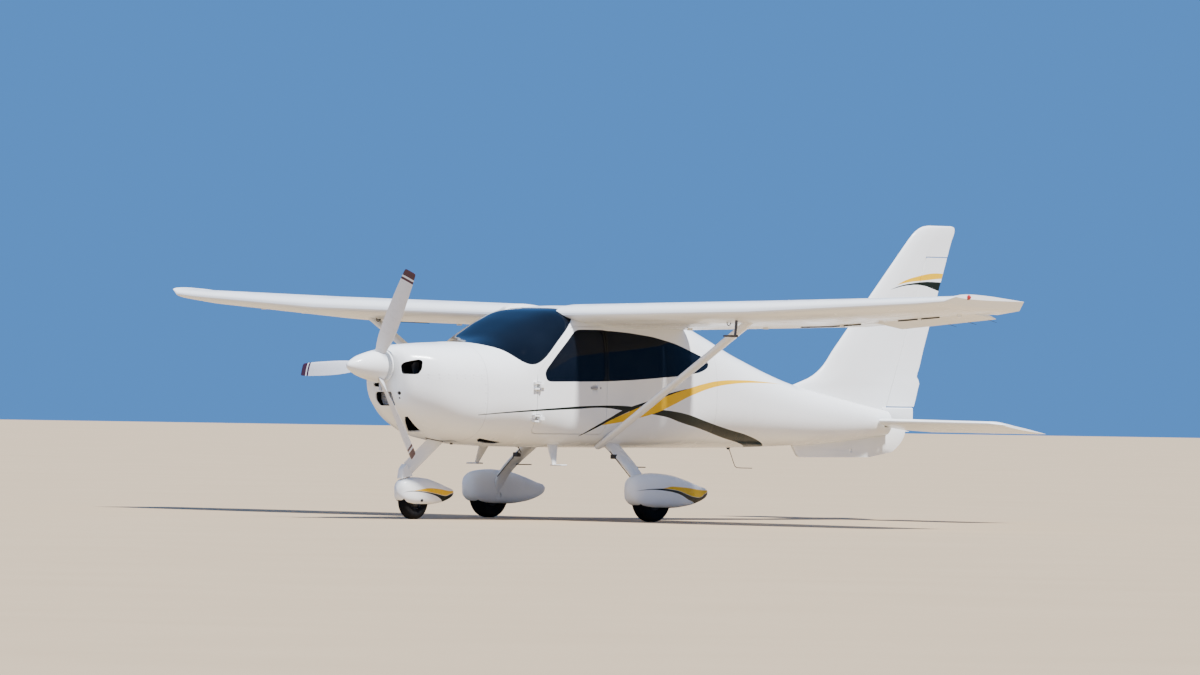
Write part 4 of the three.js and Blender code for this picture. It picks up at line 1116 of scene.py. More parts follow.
    def door_handle(self, side: int, word: str) -> None:
        """Paddle handle and key lock of one door."""
        aft, height = self.handle
        out = HULL.out_at(aft, height)
        x = on(side, out - 0.008, out + 0.006)
        paddle = block(x, (aft - 0.05, aft + 0.028), (height - 0.011, height + 0.011), 0.004)
        lock = turned([(0.0, -0.006), (0.009, -0.006), (0.009, 0.003), (0.006, 0.0042), (0.0, 0.0042)],
                      at(side * out, aft + 0.062, height), Vector((side, 0, 0)), 32)
        place(f"door_handle_{word}", joined([paddle, lock]), STEEL, body=f"{word}_door")

    def build(self) -> None:
        """Makes the shell, doors and panes."""
        walls, band = self.walls(), self.band()
        shield, pane_line, rear_line = (rounded(line, self.pane_corner)
                                        for line in (self.windshield, self.door_window, self.rear_window))
        door_line, door_room = (rounded(line, self.door_corner)
                                for line in (self.door, grown(self.door, self.move_gap)))
        shell_steps = [less(side_prism(grown(shield, GAP), *WIDE))]
        for side, word in SIDES:
            arms, leaves = self.hinge(side)
            notches = self.notches(side, 0.55, (1.5, 1.58), self.notch_half)
            door = carve(copy_of(walls), both(self.slab(door_line, side)),
                         less(self.slab(grown(pane_line, GAP), side)), *notches,
                         *[plus(leaf) for leaf in leaves], less(self.handle_room(side)))
            place(f"door_{word}", door, BODY_PAINT, body=f"{word}_door")
            for name, line, body in (("door_glass", pane_line, f"{word}_door"),
                                     ("rear_window", rear_line, "airframe")):
                pane = carve(copy_of(band), both(self.slab(line, side)))
                place(f"{name}_{word}", pane, WINDOW, body=body)
            shell_steps += [less(self.slab(door_room, side)), less(self.slab(grown(rear_line, GAP), side)),
                            *[plus(arm) for arm in arms]]
            self.seal(side, word)
            self.door_handle(side, word)
        place("windshield", carve(copy_of(band), both(side_prism(shield, *WIDE))), WINDOW)
        TOOLS.append(band)
        slot = [at(*corner) for corner in self.belly_slot]
        down = Vector(self.belly_down)
        shell_steps.append(less(pocket(slot, down, 0.02, 0.022)))
        # Near-black plug inside the belly slot: painted shade in the opening.
        liner = pocket([p.lerp(middle_of(slot), 0.02) for p in slot], down, -0.006, 0.0215)
        place("belly_slot_liner", liner, PAINTED_SHADE_BLACK)
        place("cabin_shell", carve(walls, *shell_steps), BODY_PAINT)


@dataclass
class Cowl:
    """Upper and lower cowl with inlets, ducts and the radiator behind the chin inlet."""

    skin: float = 0.012
    duct_skin: float = 0.013
    ahead: float = 0.3
    corners: Triple = (0.016, 0.022, 0.008)
    split: float = 1.15
    shaft_height: float = 1.22
    cheek: Outline = ((0.188, 1.16), (0.176, 1.226), (0.194, 1.249), (0.272, 1.28), (0.296, 1.262),
                      (0.304, 1.2), (0.29, 1.158))
    chin: Outline = ((-0.094, 1.014), (0.096, 1.018), (0.104, 0.96), (0.11, 0.905), (-0.06, 0.905),
                     (-0.092, 0.955))
    slot: Outline = ((-0.118, 1.082), (-0.06, 1.088), (0.004, 1.084), (0.004, 1.056), (-0.034, 1.052),
                     (-0.112, 1.056))
    drip: Outline = ((-0.036, 1.058), (-0.01, 1.058), (-0.01, 1.022), (-0.036, 1.022))
    side_inlet: tuple[Triple, ...] = ((0.102, 0.544, 0.82), (0.13, 0.549, 0.823), (0.123, 0.587, 0.798),
                                      (0.101, 0.656, 0.753), (0.077, 0.751, 0.707), (-0.084, 0.764, 0.702),
                                      (-0.047, 0.711, 0.722), (0.035, 0.613, 0.774))
    ports: tuple[Triple, ...] = ((0.162, 1.007, 0.015), (0.159, 0.968, 0.0075))
    exit_half: float = 0.17
    exit_front: float = 0.99
    radiator: tuple[Point, Point, Point] = ((-0.118, 0.118), (0.47, 0.5396), (0.915, 1.032))
    tank: float = 0.014
    tubes: int = 9
    fin_pitch: float = 0.0048
    fastener_heights: tuple[float, ...] = (0.7, 0.78, 0.86, 0.94, 1.02, 1.09, 1.21, 1.28, 1.34, 1.385)

    def inlet(self) -> tuple[list[Vector], Vector]:
        """Outline of the lower left inlet on the skin, and its outward direction."""
        return [at(*corner) for corner in self.side_inlet], Vector((0.16, -0.62, -0.77))

    def cheeks(self) -> list[list[Point]]:
        """Outlines of the left and right cheek inlet."""
        return [rounded([(side * x, z) for x, z in self.cheek], self.corners[0]) for side, _ in SIDES]

    def shell(self) -> Piece:
        """The whole cowl with all its openings."""
        outer = HULL.solid(HULL.front, HULL.firewall - GAP)
        inner = HULL.solid(HULL.front + 0.014, HULL.firewall + 0.02, self.skin)
        steps = [
            less(inner), less(bar(0, (0.3, 0.43), self.shaft_height, 0.062, sides=64)),
            less(front_prism(rounded(self.chin, self.corners[1]), self.ahead, 0.5)),
            less(front_prism(rounded(self.slot, self.corners[2]), self.ahead, 0.47)),
            less(front_prism(self.drip, self.ahead, 0.4075)), less(pocket(*self.inlet(), 0.04, 0.06)),
            less(block((-self.exit_half, self.exit_half), (self.exit_front, HULL.firewall), (0.56, 0.7)))]
        steps += [less(front_prism(outline, self.ahead, 0.56)) for outline in self.cheeks()]
        for out, height, radius in self.ports:
            steps.append(less(bar(out, (0.36, 0.5), height, radius)))
        return carve(outer, *steps)

    def ducts(self) -> Piece:
        """Duct walls just inside the inlets, and linings of the small openings, all near black as painted
        shade.
        """
        parts = []
        guard = HULL.solid(HULL.front + 0.015, 0.9, self.duct_skin)
        for outline in self.cheeks():
            outer = front_prism(grown(outline, 0.004), 0.42, 0.6)
            core = front_prism(grown(outline, 0.0015), 0.4, 0.596)
            parts.append(carve(outer, less(core), both(guard)))
        points, outward = self.inlet()
        middle = middle_of(points)
        wide = [middle + (p - middle) * 1.1 for p in points]
        parts.append(carve(pocket(wide, outward, -0.016, 0.07), less(pocket(points, outward, 0.0, 0.066)),
                           both(HULL.solid(HULL.front + 0.015, 1.0, self.duct_skin))))
        chin = rounded(self.chin, self.corners[1])
        shroud = front_prism(grown(chin, 0.004), 0.417, 0.469)
        parts.append(carve(shroud, less(front_prism(grown(chin, 0.0012), 0.4, 0.48)), both(guard)))
        for out, height, radius in self.ports:
            cup = turned([(0.0, 0.066), (radius + 0.002, 0.066), (radius + 0.002, 0.0),
                          (radius + 0.0005, 0.0), (radius + 0.0005, 0.064), (0.0, 0.064)],
                         at(out, 0.434, height), AFTWARD, 32)
            parts.append(carve(cup, both(guard)))
        return joined(parts)

    def cooler(self) -> None:
        """Radiator with its tanks, tubes and fins, brightened as painted light."""
        (x0, x1), (y0, y1), (z0, z1) = self.radiator
        tank, rows = self.tank, self.tubes
        core, deep = (x0 + 0.01, x1 - 0.01), (y0 + 0.002, y1 - 0.002)
        parts = [
            block((x0, x0 + tank), (y0, y1), (z0, z1), 0.004),
            block((x1 - tank, x1), (y0, y1), (z0, z1), 0.004), block(core, deep, (z0, z0 + 0.005)),
            block(core, deep, (z1 - 0.005, z1)),
            block((-0.004, 0.004), (y0 - 0.006, y0 + 0.002), (z0, z1), 0.0015)]
        for i in range(rows):
            height = z0 + (z1 - z0) * (i + 0.5) / rows
            parts.append(block(core, (y0 + 0.006, y1 - 0.006), (height - 0.0016, height + 0.0016)))
        place("radiator_core", joined(parts), RADIATOR_PAINTED_LIGHT, "radiator")
        spots = []
        pitch = (z1 - z0) / rows
        for i in range(rows):
            height = z0 + pitch * (i + 0.5) + pitch / 2 if i < rows - 1 else z0 + 0.0065
            for x in spread(x0 + tank + 0.002, x1 - tank - 0.002, self.fin_pitch):
                spots.append((at(x, (y0 + y1) / 2, height), ACROSS))
        Repeat("radiator_fins", RADIATOR_PAINTED_LIGHT, Unit.PLATE, (pitch - 0.0034, y1 - y0 - 0.014, 0.0007), spots,
               0.0).build()

    def fasteners(self) -> None:
        """Quarter-turn fasteners along the split and the firewall."""
        spots = []
        for side, _ in SIDES:
            for aft in spread(0.5, 1.02, 0.075):
                for height in (self.split + 0.014, self.split - 0.014):
                    if not (0.168 < HULL.out_at(aft, height) < 0.31 and height > self.split and aft < 0.58):
                        spots.append(HULL.spot(aft, height, side))
            for height in self.fastener_heights:
                spots.append(HULL.spot(HULL.firewall - 0.016, height, side))
        Repeat("cowl_fasteners", PLAIN_PAINT, Unit.STUD, (0.0062, 0.0052, 0.0016), spots).build()

    def build(self) -> None:
        """Makes both cowls, the ducts and the radiator."""
        upper = self.shell()
        lower = copy_of(upper)
        for name, piece, z in (("cowl_upper", upper, (self.split + GAP / 2, 1.7)),
                               ("cowl_lower", lower, (0.4, self.split - GAP / 2))):
            place(name, carve(piece, both(block(WIDE, (0.2, 1.2), z))), BODY_PAINT)
        # Duct walls in near black: painted shade inside the inlets.
        place("inlet_ducts", self.ducts(), PAINTED_SHADE_BLACK)
        place("overflow_tube", bar(-0.036, 0.4085, (1.086, 1.026), 0.0165), ALLOY)
        self.cooler()
        self.fasteners()


@dataclass
class Propeller:
    """Spinner, backplate and three blades."""

    height: float = 1.22
    line: float = 0.307
    angles: tuple[float, ...] = (62.6, 182.6, 302.6)
    backplate: float = 0.014
    length: float = 0.39
    radius: float = 0.132
    bore: float = 0.0384
    screws: int = 18
    slot_growth: float = 0.003
    cone: Outline = ((0.0, 0.0), (0.024, 0.012), (0.049, 0.05), (0.081, 0.119), (0.107, 0.21),
                     (0.123, 0.28), (0.132, 0.33))
    sections: Table = (
        (0.07, 0.07, 0.04, 62), (0.15, 0.094, 0.034, 55), (0.26, 0.124, 0.022, 43),
        (0.42, 0.134, 0.015, 33), (0.62, 0.126, 0.011, 25), (0.79, 0.112, 0.008, 20),
        (0.836, 0.104, 0.006, 19), (0.846, 0.094, 0.005, 18.5), (0.85, 0.078, 0.003, 18))

    def cone_profile(self) -> list[Point]:
        """Round-nosed outline of the spinner."""
        curve = Smooth([(math.sqrt(d), r) for r, d in self.cone])
        end = math.sqrt(self.cone[-1][1])
        return [(curve(end * i / 40)[0], (end * i / 40) ** 2) for i in range(41)]

    def blade(self, degrees: float, growth: float = 0.0) -> Piece:
        """One twisted blade."""
        angle = math.radians(degrees)
        outward = Vector((math.cos(angle), 0, math.sin(angle)))
        sideways = Vector((-math.sin(angle), 0, math.cos(angle)))
        curve = Smooth(self.sections)
        rings = []
        for radius in [*spread(0.07, 0.79, 0.02), *spread(0.798, 0.838, 0.01), 0.842, 0.846, 0.849, 0.85]:
            chord, thick, pitch = curve(radius)
            turn = math.radians(pitch)
            along = sideways * math.cos(turn) - Vector((0, math.sin(turn), 0))
            across = outward.cross(along)
            centre = at(0, self.line, self.height) + outward * radius
            rings.append([centre + along * (u * (chord + 2 * growth)) + across * (v * (thick + 2 * growth))
                          for u, v in foil_points(24, 0.2)])
        return loft(rings)

    def build(self) -> None:
        """Makes the turning group."""
        end = self.length - self.backplate - GAP
        spinner = turned([*self.cone_profile(), (0.0, end)], at(0, 0, self.height), AFTWARD, 96)
        cuts = [less(bar(0, (0.3, 0.4), self.height, self.bore))]
        for i, degrees in enumerate(self.angles):
            cuts.append(less(self.blade(degrees, self.slot_growth)))
            place(f"blade_{i + 1}", self.blade(degrees), BLADE_PAINT, body="propeller")
        place("spinner", carve(spinner, *cuts), SPINNER_PAINT, body="propeller")
        r, a, b = self.radius, end + GAP, self.length
        ring = [(self.bore, a), (r - 0.004, a), (r, a + 0.003), (r, b - 0.003), (r - 0.004, b),
                (self.bore, b)]
        plate = turned(ring, at(0, 0, self.height), AFTWARD, 96)
        place("propeller_backplate", plate, PLAIN_PAINT, body="propeller", slot="alloy")
        spots = []
        for c, s in circle(self.screws, 0.5):
            spoke = Vector((c, 0, s))
            spots.append((at(0, end - 0.012, self.height) + spoke * (self.radius - 0.0004), spoke))
        Repeat("spinner_screws", STEEL, Unit.STUD, (0.0036, 0.003, 0.0012), spots, body="propeller").build()


FOIL_SHAPE = ((0.0, 0.0), (0.02, 0.2), (0.09, 0.38), (0.25, 0.5), (0.45, 0.46), (0.7, 0.27), (1.0, 0.02))
FOIL = Smooth([(math.sqrt(along), half) for along, half in FOIL_SHAPE])


def foil_points(count: int, lift: float) -> list[Point]:
    """Aerofoil of unit chord and thickness about its middle.

    Args:
        count: points on each surface.
        lift: how much deeper the upper surface is than the lower, as a share.

    Returns:
        Points of distance along the chord and across it.
    """
    upper = [(i / count) ** 1.6 for i in range(count + 1)]
    points = [(x - 0.5, FOIL(math.sqrt(x))[0] * (1 + lift)) for x in upper]
    return points + [(x - 0.5, -FOIL(math.sqrt(x))[0] * (1 - lift)) for x in reversed(upper[1:])]


def hinge_prism(ends: Sequence[Vector], across: Vector, nose: float, face: float, reach: float = 0.9,
                tall: float = 0.4) -> Piece:
    """Cutter behind a hinge line, with a round nose where one is given."""
    if nose > 0:
        arc = [(-nose * math.cos(t), face * math.sin(t))
               for t in [math.pi * (i / 10 - 0.5) for i in range(11)]]
        section = [*arc, (0, tall), (reach, tall), (reach, -tall), (0, -tall)]
    else:
        section = [(0, -tall), (reach, -tall), (reach, tall), (0, tall)]
    return loft([[end + Vector((0, u, 0)) + across * v for u, v in section] for end in ends])


@dataclass(frozen=True)
class Surface:
    """A flap or aileron in the trailing part of the wing."""

    start: float
    end: float
    aft: Point
    low: float
    pocket: float
    nose: float
    set_degrees: float


@dataclass
class Wings:
    """Both wings with flaps, ailerons, struts, lamps and brackets."""

    sections: Table = ((0.33, 1.975, 3.34, 1.65, 4.3, 0.125), (2.5, 1.975, 3.34, 1.695, 4.3, 0.125),
                       (4.15, 2.18, 3.11, 1.775, 4.8, 0.115), (4.42, 2.214, 3.075, 1.794, 4.3, 0.1),
                       (4.51, 2.26, 3.03, 1.831, 2.3, 0.05))
    flap: Surface = Surface(0.64, 2.89, (2.985, 2.985), -0.018, 0.016, 0, 0)
    aileron: Surface = Surface(2.95, 4.15, (2.95, 2.87), 0.008, 0.022, 0.009, 8)
    end_gap: float = 0.012
    strut_ends: Table = ((0.452, 2.378, 0.592, 0.1), (2.215, 2.35, 1.64, 0.118))
    strut_thick: float = 0.4
    lamp: Triple = (4.502, 2.4, 1.826)
    fuel_cap: Point = (1.1, 2.4)
    tie_down: Point = (2.02, 2.26)
    wicks: tuple[float, ...] = (3.55, 3.8, 4.05)
    wick: Triple = (0.0, 0.1, -0.022)
    spars: Point = (0.28, 0.62)
    ribs: tuple[float, ...] = (0.9, 1.35, 1.8, 2.7, 3.15, 3.6, 4.05)
    rivet_pitch: float = 0.055
    pitot_at: tuple[float, ...] = (2.2, 2.17, 1.5, 1.68)

    def section_at(self, out: float) -> list[float]:
        """Leading edge, trailing edge, height, incidence and thickness at a distance out."""
        return straight(self.sections, out)

    def chord_height(self, out: float, aft: float) -> float:
        """Height of the chord line."""
        lead, _, height, pitch, _ = self.section_at(out)
        return height - (aft - lead) * math.sin(math.radians(pitch))

    def surface_height(self, out: float, aft: float, upper: bool) -> float:
        """Height of the upper or lower surface."""
        lead, trail, _, _, thick = self.section_at(out)
        share = FOIL(math.sqrt(max((aft - lead) / (trail - lead), 0)))[0] * thick * (trail - lead)
        return self.chord_height(out, aft) + share * (1.33 if upper else -0.67)

    def solid(self, side: int, growth: float = 0.0) -> Piece:
        """The whole wing as one closed form."""
        rings = []
        outs = [0.33, 2.5, 4.15, 4.3, 4.42, *[4.42 + 0.09 * t for t in (0.3, 0.55, 0.75, 0.9, 1.0)]]
        for out in outs:
            lead, trail, height, pitch, thick = self.section_at(out)
            rise = math.sin(math.radians(pitch))
            chord = trail - lead
            rings.append([at(side * out, lead + (u + 0.5) * chord * (1 + 2 * growth / chord) - growth,
                             height - (u + 0.5) * chord * rise + v * (thick * chord + 2 * growth))
                          for u, v in foil_points(36, 0.33)])
        return loft(rings)

    def setting(self, surface: Surface, ends: list[Vector]) -> Matrix:
        """Turn of a surface about its hinge line to where it rests."""
        along = (ends[1] - ends[0]).normalized()
        turn = Matrix.Rotation(-math.radians(surface.set_degrees), 4, along)
        return Matrix.Translation(ends[0]) @ turn @ Matrix.Translation(-ends[0])

    def hinge(self, side: int, surface: Surface) -> list[Vector]:
        """Inner and outer end of a surface's hinge line."""
        return [at(side * out, aft, self.chord_height(out, aft) + surface.low)
                for out, aft in zip((surface.start, surface.end), surface.aft)]

    def wing(self, side: int, word: str, guard: Piece) -> None:
        """One wing and its two surfaces."""
        whole = carve(self.solid(side), less(guard))
        wing = copy_of(whole)
        cuts = []
        for name, surface in (("flap", self.flap), ("aileron", self.aileron)):
            ends = self.hinge(side, surface)
            back = [end + Vector((0, -surface.pocket, 0)) for end in ends]
            cuts.append(less(hinge_prism(back, UP, 0, 0)))
            along = (ends[1] - ends[0]).normalized()
            inner = [ends[0] + along * self.end_gap, ends[1] - along * self.end_gap]
            piece = carve(copy_of(whole), both(hinge_prism(inner, UP, surface.nose, 0.044)))
            piece.data.transform(self.setting(surface, ends))
            place(f"{name}_{word}", piece, PLAIN_PAINT, body=f"{word}_{name}")
        place(f"wing_{word}", carve(wing, *cuts), PLAIN_PAINT)
        TOOLS.append(whole)

    def strut(self, side: int, word: str, guard: Piece) -> None:
        """Streamlined strut from the belly to the wing."""
        low, high = self.strut_ends
        across = Vector((-side * (high[2] - low[2]), 0, high[0] - low[0])).normalized()
        rings = []
        for t in spread(0, 1, 0.05):
            out, aft, height, chord = (a + (b - a) * t for a, b in zip(low, high))
            rings.append([at(side * out, aft + u * chord, height) + across * (v * chord * self.strut_thick)
                          for u, v in foil_points(20, 0.0)])
        place(f"strut_{word}", carve(loft(rings), less(guard), less(self.solid(side, GAP))), PLAIN_PAINT)

    def skin_spot(self, side: int, out: float, aft: float, upper: bool) -> tuple[Vector, Vector]:
        """Point of the wing's skin and its outward direction."""
        here, behind, beyond = (at(side * o, a, self.surface_height(o, a, upper))
                                for o, a in ((out, aft), (out, aft + 0.01), (out + 0.01, aft)))
        normal = (behind - here).cross(beyond - here).normalized()
        return here, normal if (normal.z > 0) == upper else -normal

    def lower_height(self, out: float, aft: float) -> float:
        """Height of the lower skin."""
        return self.surface_height(out, aft, False)

    def gap_shade_strips(self, side: int, word: str) -> None:
        """Black strips hanging below the flap and aileron gaps as painted shade, and hinge arms."""
        strips, arms = [], []
        for surface, start, end in ((self.flap, 2.15, 2.8), (self.aileron, 3.28, 3.75)):
            ends = self.hinge(side, surface)
            rings = []
            for out in (start, (start + end) / 2, end):
                share = (out - surface.start) / (surface.end - surface.start)
                aft = surface.aft[0] + (surface.aft[1] - surface.aft[0]) * share - surface.pocket - 0.02
                rings.append([at(side * out, a, self.lower_height(out, a) + lift)
                              for a, lift in ((aft, 0.004), (aft, -0.009), (aft + 0.018, -0.009),
                                              (aft + 0.018, 0.004))])
            strips.append(loft(rings))
            for share in (0.12, 0.5, 0.88):
                spot = ends[0].lerp(ends[1], share)
                low = self.lower_height(abs(spot.x), spot.y + HALF_LENGTH - 0.045)
                back = spot.y + HALF_LENGTH
                arms.append(block((spot.x - 0.004, spot.x + 0.004),
                                  (back - 0.075, back - surface.pocket - 0.004), (low - 0.016, low + 0.02),
                                  0.002))
        # Strips below the skin in black: painted shade along the gaps.
        place(f"gap_seals_{word}", joined(strips), BLACK)
        place(f"hinge_arms_{word}", joined(arms), PLAIN_PAINT)

    def lamps(self, side: int, word: str) -> None:
        """Navigation lamp, tie-down ring, fuel cap and static wicks of one wing."""
        glass = turned([(0.0, -0.02), (0.017, -0.018), (0.022, 0.0), (0.019, 0.014), (0.01, 0.024),
                        (0.0, 0.026)], at(side * self.lamp[0], *self.lamp[1:]), Vector((side, 0, 0)), 32)
        place(f"wing_lamp_{word}", glass, RED_LENS if side > 0 else GREEN_LENS)
        cap, outward = self.skin_spot(side, *self.fuel_cap, True)
        disc = turned([(0.0, -0.004), (0.04, -0.004), (0.04, 0.002), (0.036, 0.004), (0.02, 0.004),
                       (0.018, 0.002), (0.0, 0.002)], cap, outward, 40)
        place(f"fuel_cap_{word}", disc, ALLOY)
        spot, down = self.skin_spot(side, *self.tie_down, False)
        turns = [math.pi * i / 10 for i in range(11)]
        path = [spot + Vector((0, 0.022 * math.cos(t), 0.006)) + down * 0.03 * math.sin(t) for t in turns]
        place(f"tie_down_{word}", tube_along(path, 0.0035), DARK_STEEL)
        turn = self.setting(self.aileron, self.hinge(side, self.aileron))
        wicks = []
        for out in self.wicks:
            _, trail, _, _, _ = self.section_at(out)
            root = turn @ at(side * out, trail - 0.012, self.chord_height(out, trail - 0.012))
            wicks.append(rod(root, root + Vector(self.wick), 0.0024, 0.0012, 10))
        place(f"static_wicks_{word}", joined(wicks), BLACK, body=f"{word}_aileron")

    def rivets(self, side: int, word: str) -> None:
        """Rows of flush rivets along the spar and ribs."""
        spots = []
        for upper in (True, False):
            places = [(out, share) for share in self.spars for out in spread(0.72, 4.1, self.rivet_pitch)]
            places += [(out, share) for out in self.ribs for share in spread(0.08, 0.66, self.rivet_pitch)]
            for out, share in places:
                lead, trail, _, _, _ = self.section_at(out)
                spots.append(self.skin_spot(side, out, lead + (trail - lead) * share, upper))
        Repeat(f"wing_rivets_{word}", PLAIN_PAINT, Unit.STUD, (0.0042, 0.0034, 0.0012), spots).build()

    def pitot(self) -> None:
        """Pitot mast and probe under the left wing."""
        out, aft, low, top = self.pitot_at
        mast = rod(at(out, aft, top), at(out, aft - 0.02, low), 0.0125, 0.01, 24)
        probe = rod(at(out, aft + 0.004, low), at(out, aft - 0.15, low), 0.0105, 0.0075, 24)
        carve(mast, plus(probe), less(self.solid(1, GAP)))
        place("pitot_tube", mast, DARK_STEEL, slot="alloy")

    def build(self) -> None:
        """Makes both sides."""
        guard = HULL.guard(HULL.front)
        self.pitot()
        for side, word in SIDES:
            self.wing(side, word, guard)
            self.strut(side, word, guard)
            self.gap_shade_strips(side, word)
            self.lamps(side, word)
            self.rivets(side, word)


@dataclass
class Tail:
    """Tail cone, fin, rudder, ventral fin, stabilator and trim tabs."""

    fin_rows: Table = (
        (0.88, 5.0, 6.48, 0.09), (0.97, 5.02, 6.516, 0.09), (1.11, 5.05, 6.56, 0.09),
        (1.15, 5.185, 6.572, 0.092), (1.195, 5.3, 6.538, 0.092), (1.27, 5.41, 6.566, 0.092),
        (1.42, 5.545, 6.612, 0.092), (2.31, 6.39, 6.925, 0.058), (2.365, 6.446, 6.95, 0.053),
        (2.405, 6.494, 6.967, 0.046), (2.434, 6.545, 6.97, 0.038), (2.45, 6.592, 6.958, 0.028),
        (2.458, 6.65, 6.925, 0.016))
    stab_rows: Table = ((0.134, 5.95, 6.6, 0.11), (1.34, 5.985, 6.598, 0.1), (1.45, 6.075, 6.58, 0.04))
    pivot: Point = (6.112, 0.806)
    tube: float = 0.021
    droop: float = math.radians(8)
    tab_inner: float = 0.104
    tab_outer: Point = (0.86, 6.48)
    rudder_low: Point = (6.173, 0.94)
    rudder_high: Point = (6.627, 2.2)
    fairing: tuple[float, ...] = (6.1, 6.47, 0.034, 0.82, 0.938)
    tie_hole: Triple = (5.755, 0.58, 0.017)
    lamp_height: float = 0.89
    whip_aft: float = 4.318
    aerial: tuple[Point, Point] = ((1.9, 0.6), (1.945, 0.54))
    seams: tuple[float, ...] = (3.725, 4.6, 5.4)
    whip: Outline = ((4.27, 0.7), (4.335, 0.57), (4.385, 0.468), (4.4, 0.441), (4.42, 0.43), (4.47, 0.427),
                     (4.6, 0.426))
    ventral: Outline = ((5.04, 0.64), (5.13, 0.519), (5.96, 0.523), (6.25, 0.569), (6.345, 0.64),
                        (6.395, 0.705), (6.4, 0.76), (6.12, 0.78), (5.9, 0.8), (5.2, 0.72))

    def fin_solid(self) -> Piece:
        """The fin with its rudder as one form."""
        curve = Smooth(self.fin_rows)
        rings = []
        for height in [*spread(0.88, 1.6, 0.03), *spread(1.66, 2.31, 0.06), *spread(2.32, 2.44, 0.012),
                       2.446, 2.45, 2.454, 2.4565, 2.458]:
            lead, trail, thick = curve(height)
            if 1.42 < height < 2.31:
                lead, trail, thick = straight(self.fin_rows, height)
            chord = trail - lead
            rings.append([at(v * thick, lead + (u + 0.5) * chord, height) for u, v in foil_points(36, 0.0)])
        return loft(rings)

    def stab_point(self, side: int, out: float, aft: float, up: float) -> Vector:
        """Point of the drooping stabilator."""
        u = aft - self.pivot[0]
        return at(side * out, self.pivot[0] + u * math.cos(self.droop) + up * math.sin(self.droop),
                  self.pivot[1] - u * math.sin(self.droop) + up * math.cos(self.droop))

    def stab_solid(self, side: int) -> Piece:
        """One half of the stabilator with its tab as one form."""
        rings = []
        for out in (0.134, 0.6, 1.0, 1.34, 1.375, 1.405, 1.43, 1.45):
            lead, trail, thick = straight(self.stab_rows, out)
            chord = trail - lead
            rings.append([self.stab_point(side, out, lead + (u + 0.5) * chord, v * thick * chord)
                          for u, v in foil_points(32, 0.0)])
        return loft(rings)

    def cone(self) -> None:
        """Tail cone with its fairing."""
        outer = HULL.solid(HULL.bulkhead + GAP, HULL.tail_end)
        room = HULL.solid(HULL.bulkhead + GAP + 0.01, HULL.tail_end - 0.03, 0.012)
        start, end, half, low, high = self.fairing
        tip = rounded([(start, low), (end - 0.02, low), (end, low + 0.02), (end, high), (start, high)], 0.012)
        fairing = side_prism(tip, -half, half)
        soften(fairing, 0.012)
        tube = bar((-0.3, 0.3), *self.pivot, self.tube + GAP)
        carve(outer, less(room), plus(fairing), less(tube))
        place("tail_cone", outer, BODY_PAINT)

    def fin(self) -> None:
        """Fin and rudder."""
        hinge = [at(0, *self.rudder_low), at(0, *self.rudder_high)]
        along = (hinge[1] - hinge[0]).normalized()
        fin = self.fin_solid()
        rudder = copy_of(fin)
        inner = [hinge[0] + along * 0.008, hinge[1] - along * 0.008]
        carve(rudder, both(hinge_prism(inner, ACROSS, 0.008, 0.026)))
        place("rudder", rudder, FIN_PAINT, body="rudder")
        back = [end + Vector((0, -0.02, 0)) for end in hinge]
        start, _, _, _, high = self.fairing
        carve(fin, less(hinge_prism(back, ACROSS, 0, 0)),
              less(block((-0.2, 0.2), (self.rudder_low[0] - 0.02, 7.0), (0.7, 0.941))),
              less(HULL.guard(HULL.bulkhead)),
              less(block((-0.06, 0.06), (start - GAP, 6.6), (0.8, high + GAP))))
        place("fin", fin, FIN_PAINT)

    def keel(self) -> None:
        """Ventral fin with its tie-down hole."""
        keel = side_prism(rounded(self.ventral, 0.03), -0.011, 0.011)
        guard = HULL.guard(HULL.bulkhead)
        hole = bar((-0.02, 0.02), *self.tie_hole)
        end = block((-0.05, 0.05), (HULL.tail_end - 0.06, HULL.tail_end + GAP), (0.705, 0.912))
        carve(keel, less(guard), less(hole), less(end))
        place("ventral_fin", soften(keel, 0.004), PLAIN_PAINT)

    def plane(self) -> None:
        """Stabilator halves on their tube, with tabs."""
        whole = bar((-0.3, 0.3), *self.pivot, self.tube)
        steps = []
        for side, word in SIDES:
            half = self.stab_solid(side)
            end, aft = self.tab_outer
            ends = [self.stab_point(side, out, aft, 0) for out in (self.tab_inner, end)]
            pocket = hinge_prism([e + Vector((0, -0.012, 0)) for e in ends], UP, 0, 0)
            inner = [ends[0], ends[1] - Vector((side * 0.006, 0, 0))]
            tab = carve(copy_of(half), both(hinge_prism(inner, UP, 0.005, 0.014)))
            place(f"trim_tab_{word}", tab, PLAIN_PAINT, body="trim_tabs")
            steps.append(plus(carve(half, less(pocket))))
        place("stabilator", carve(whole, *steps), PLAIN_PAINT, body="stabilator")

    def fittings(self) -> None:
        """Painted-shade patch at the stabilator slots, tail lamp, whip antenna and belly aerial."""
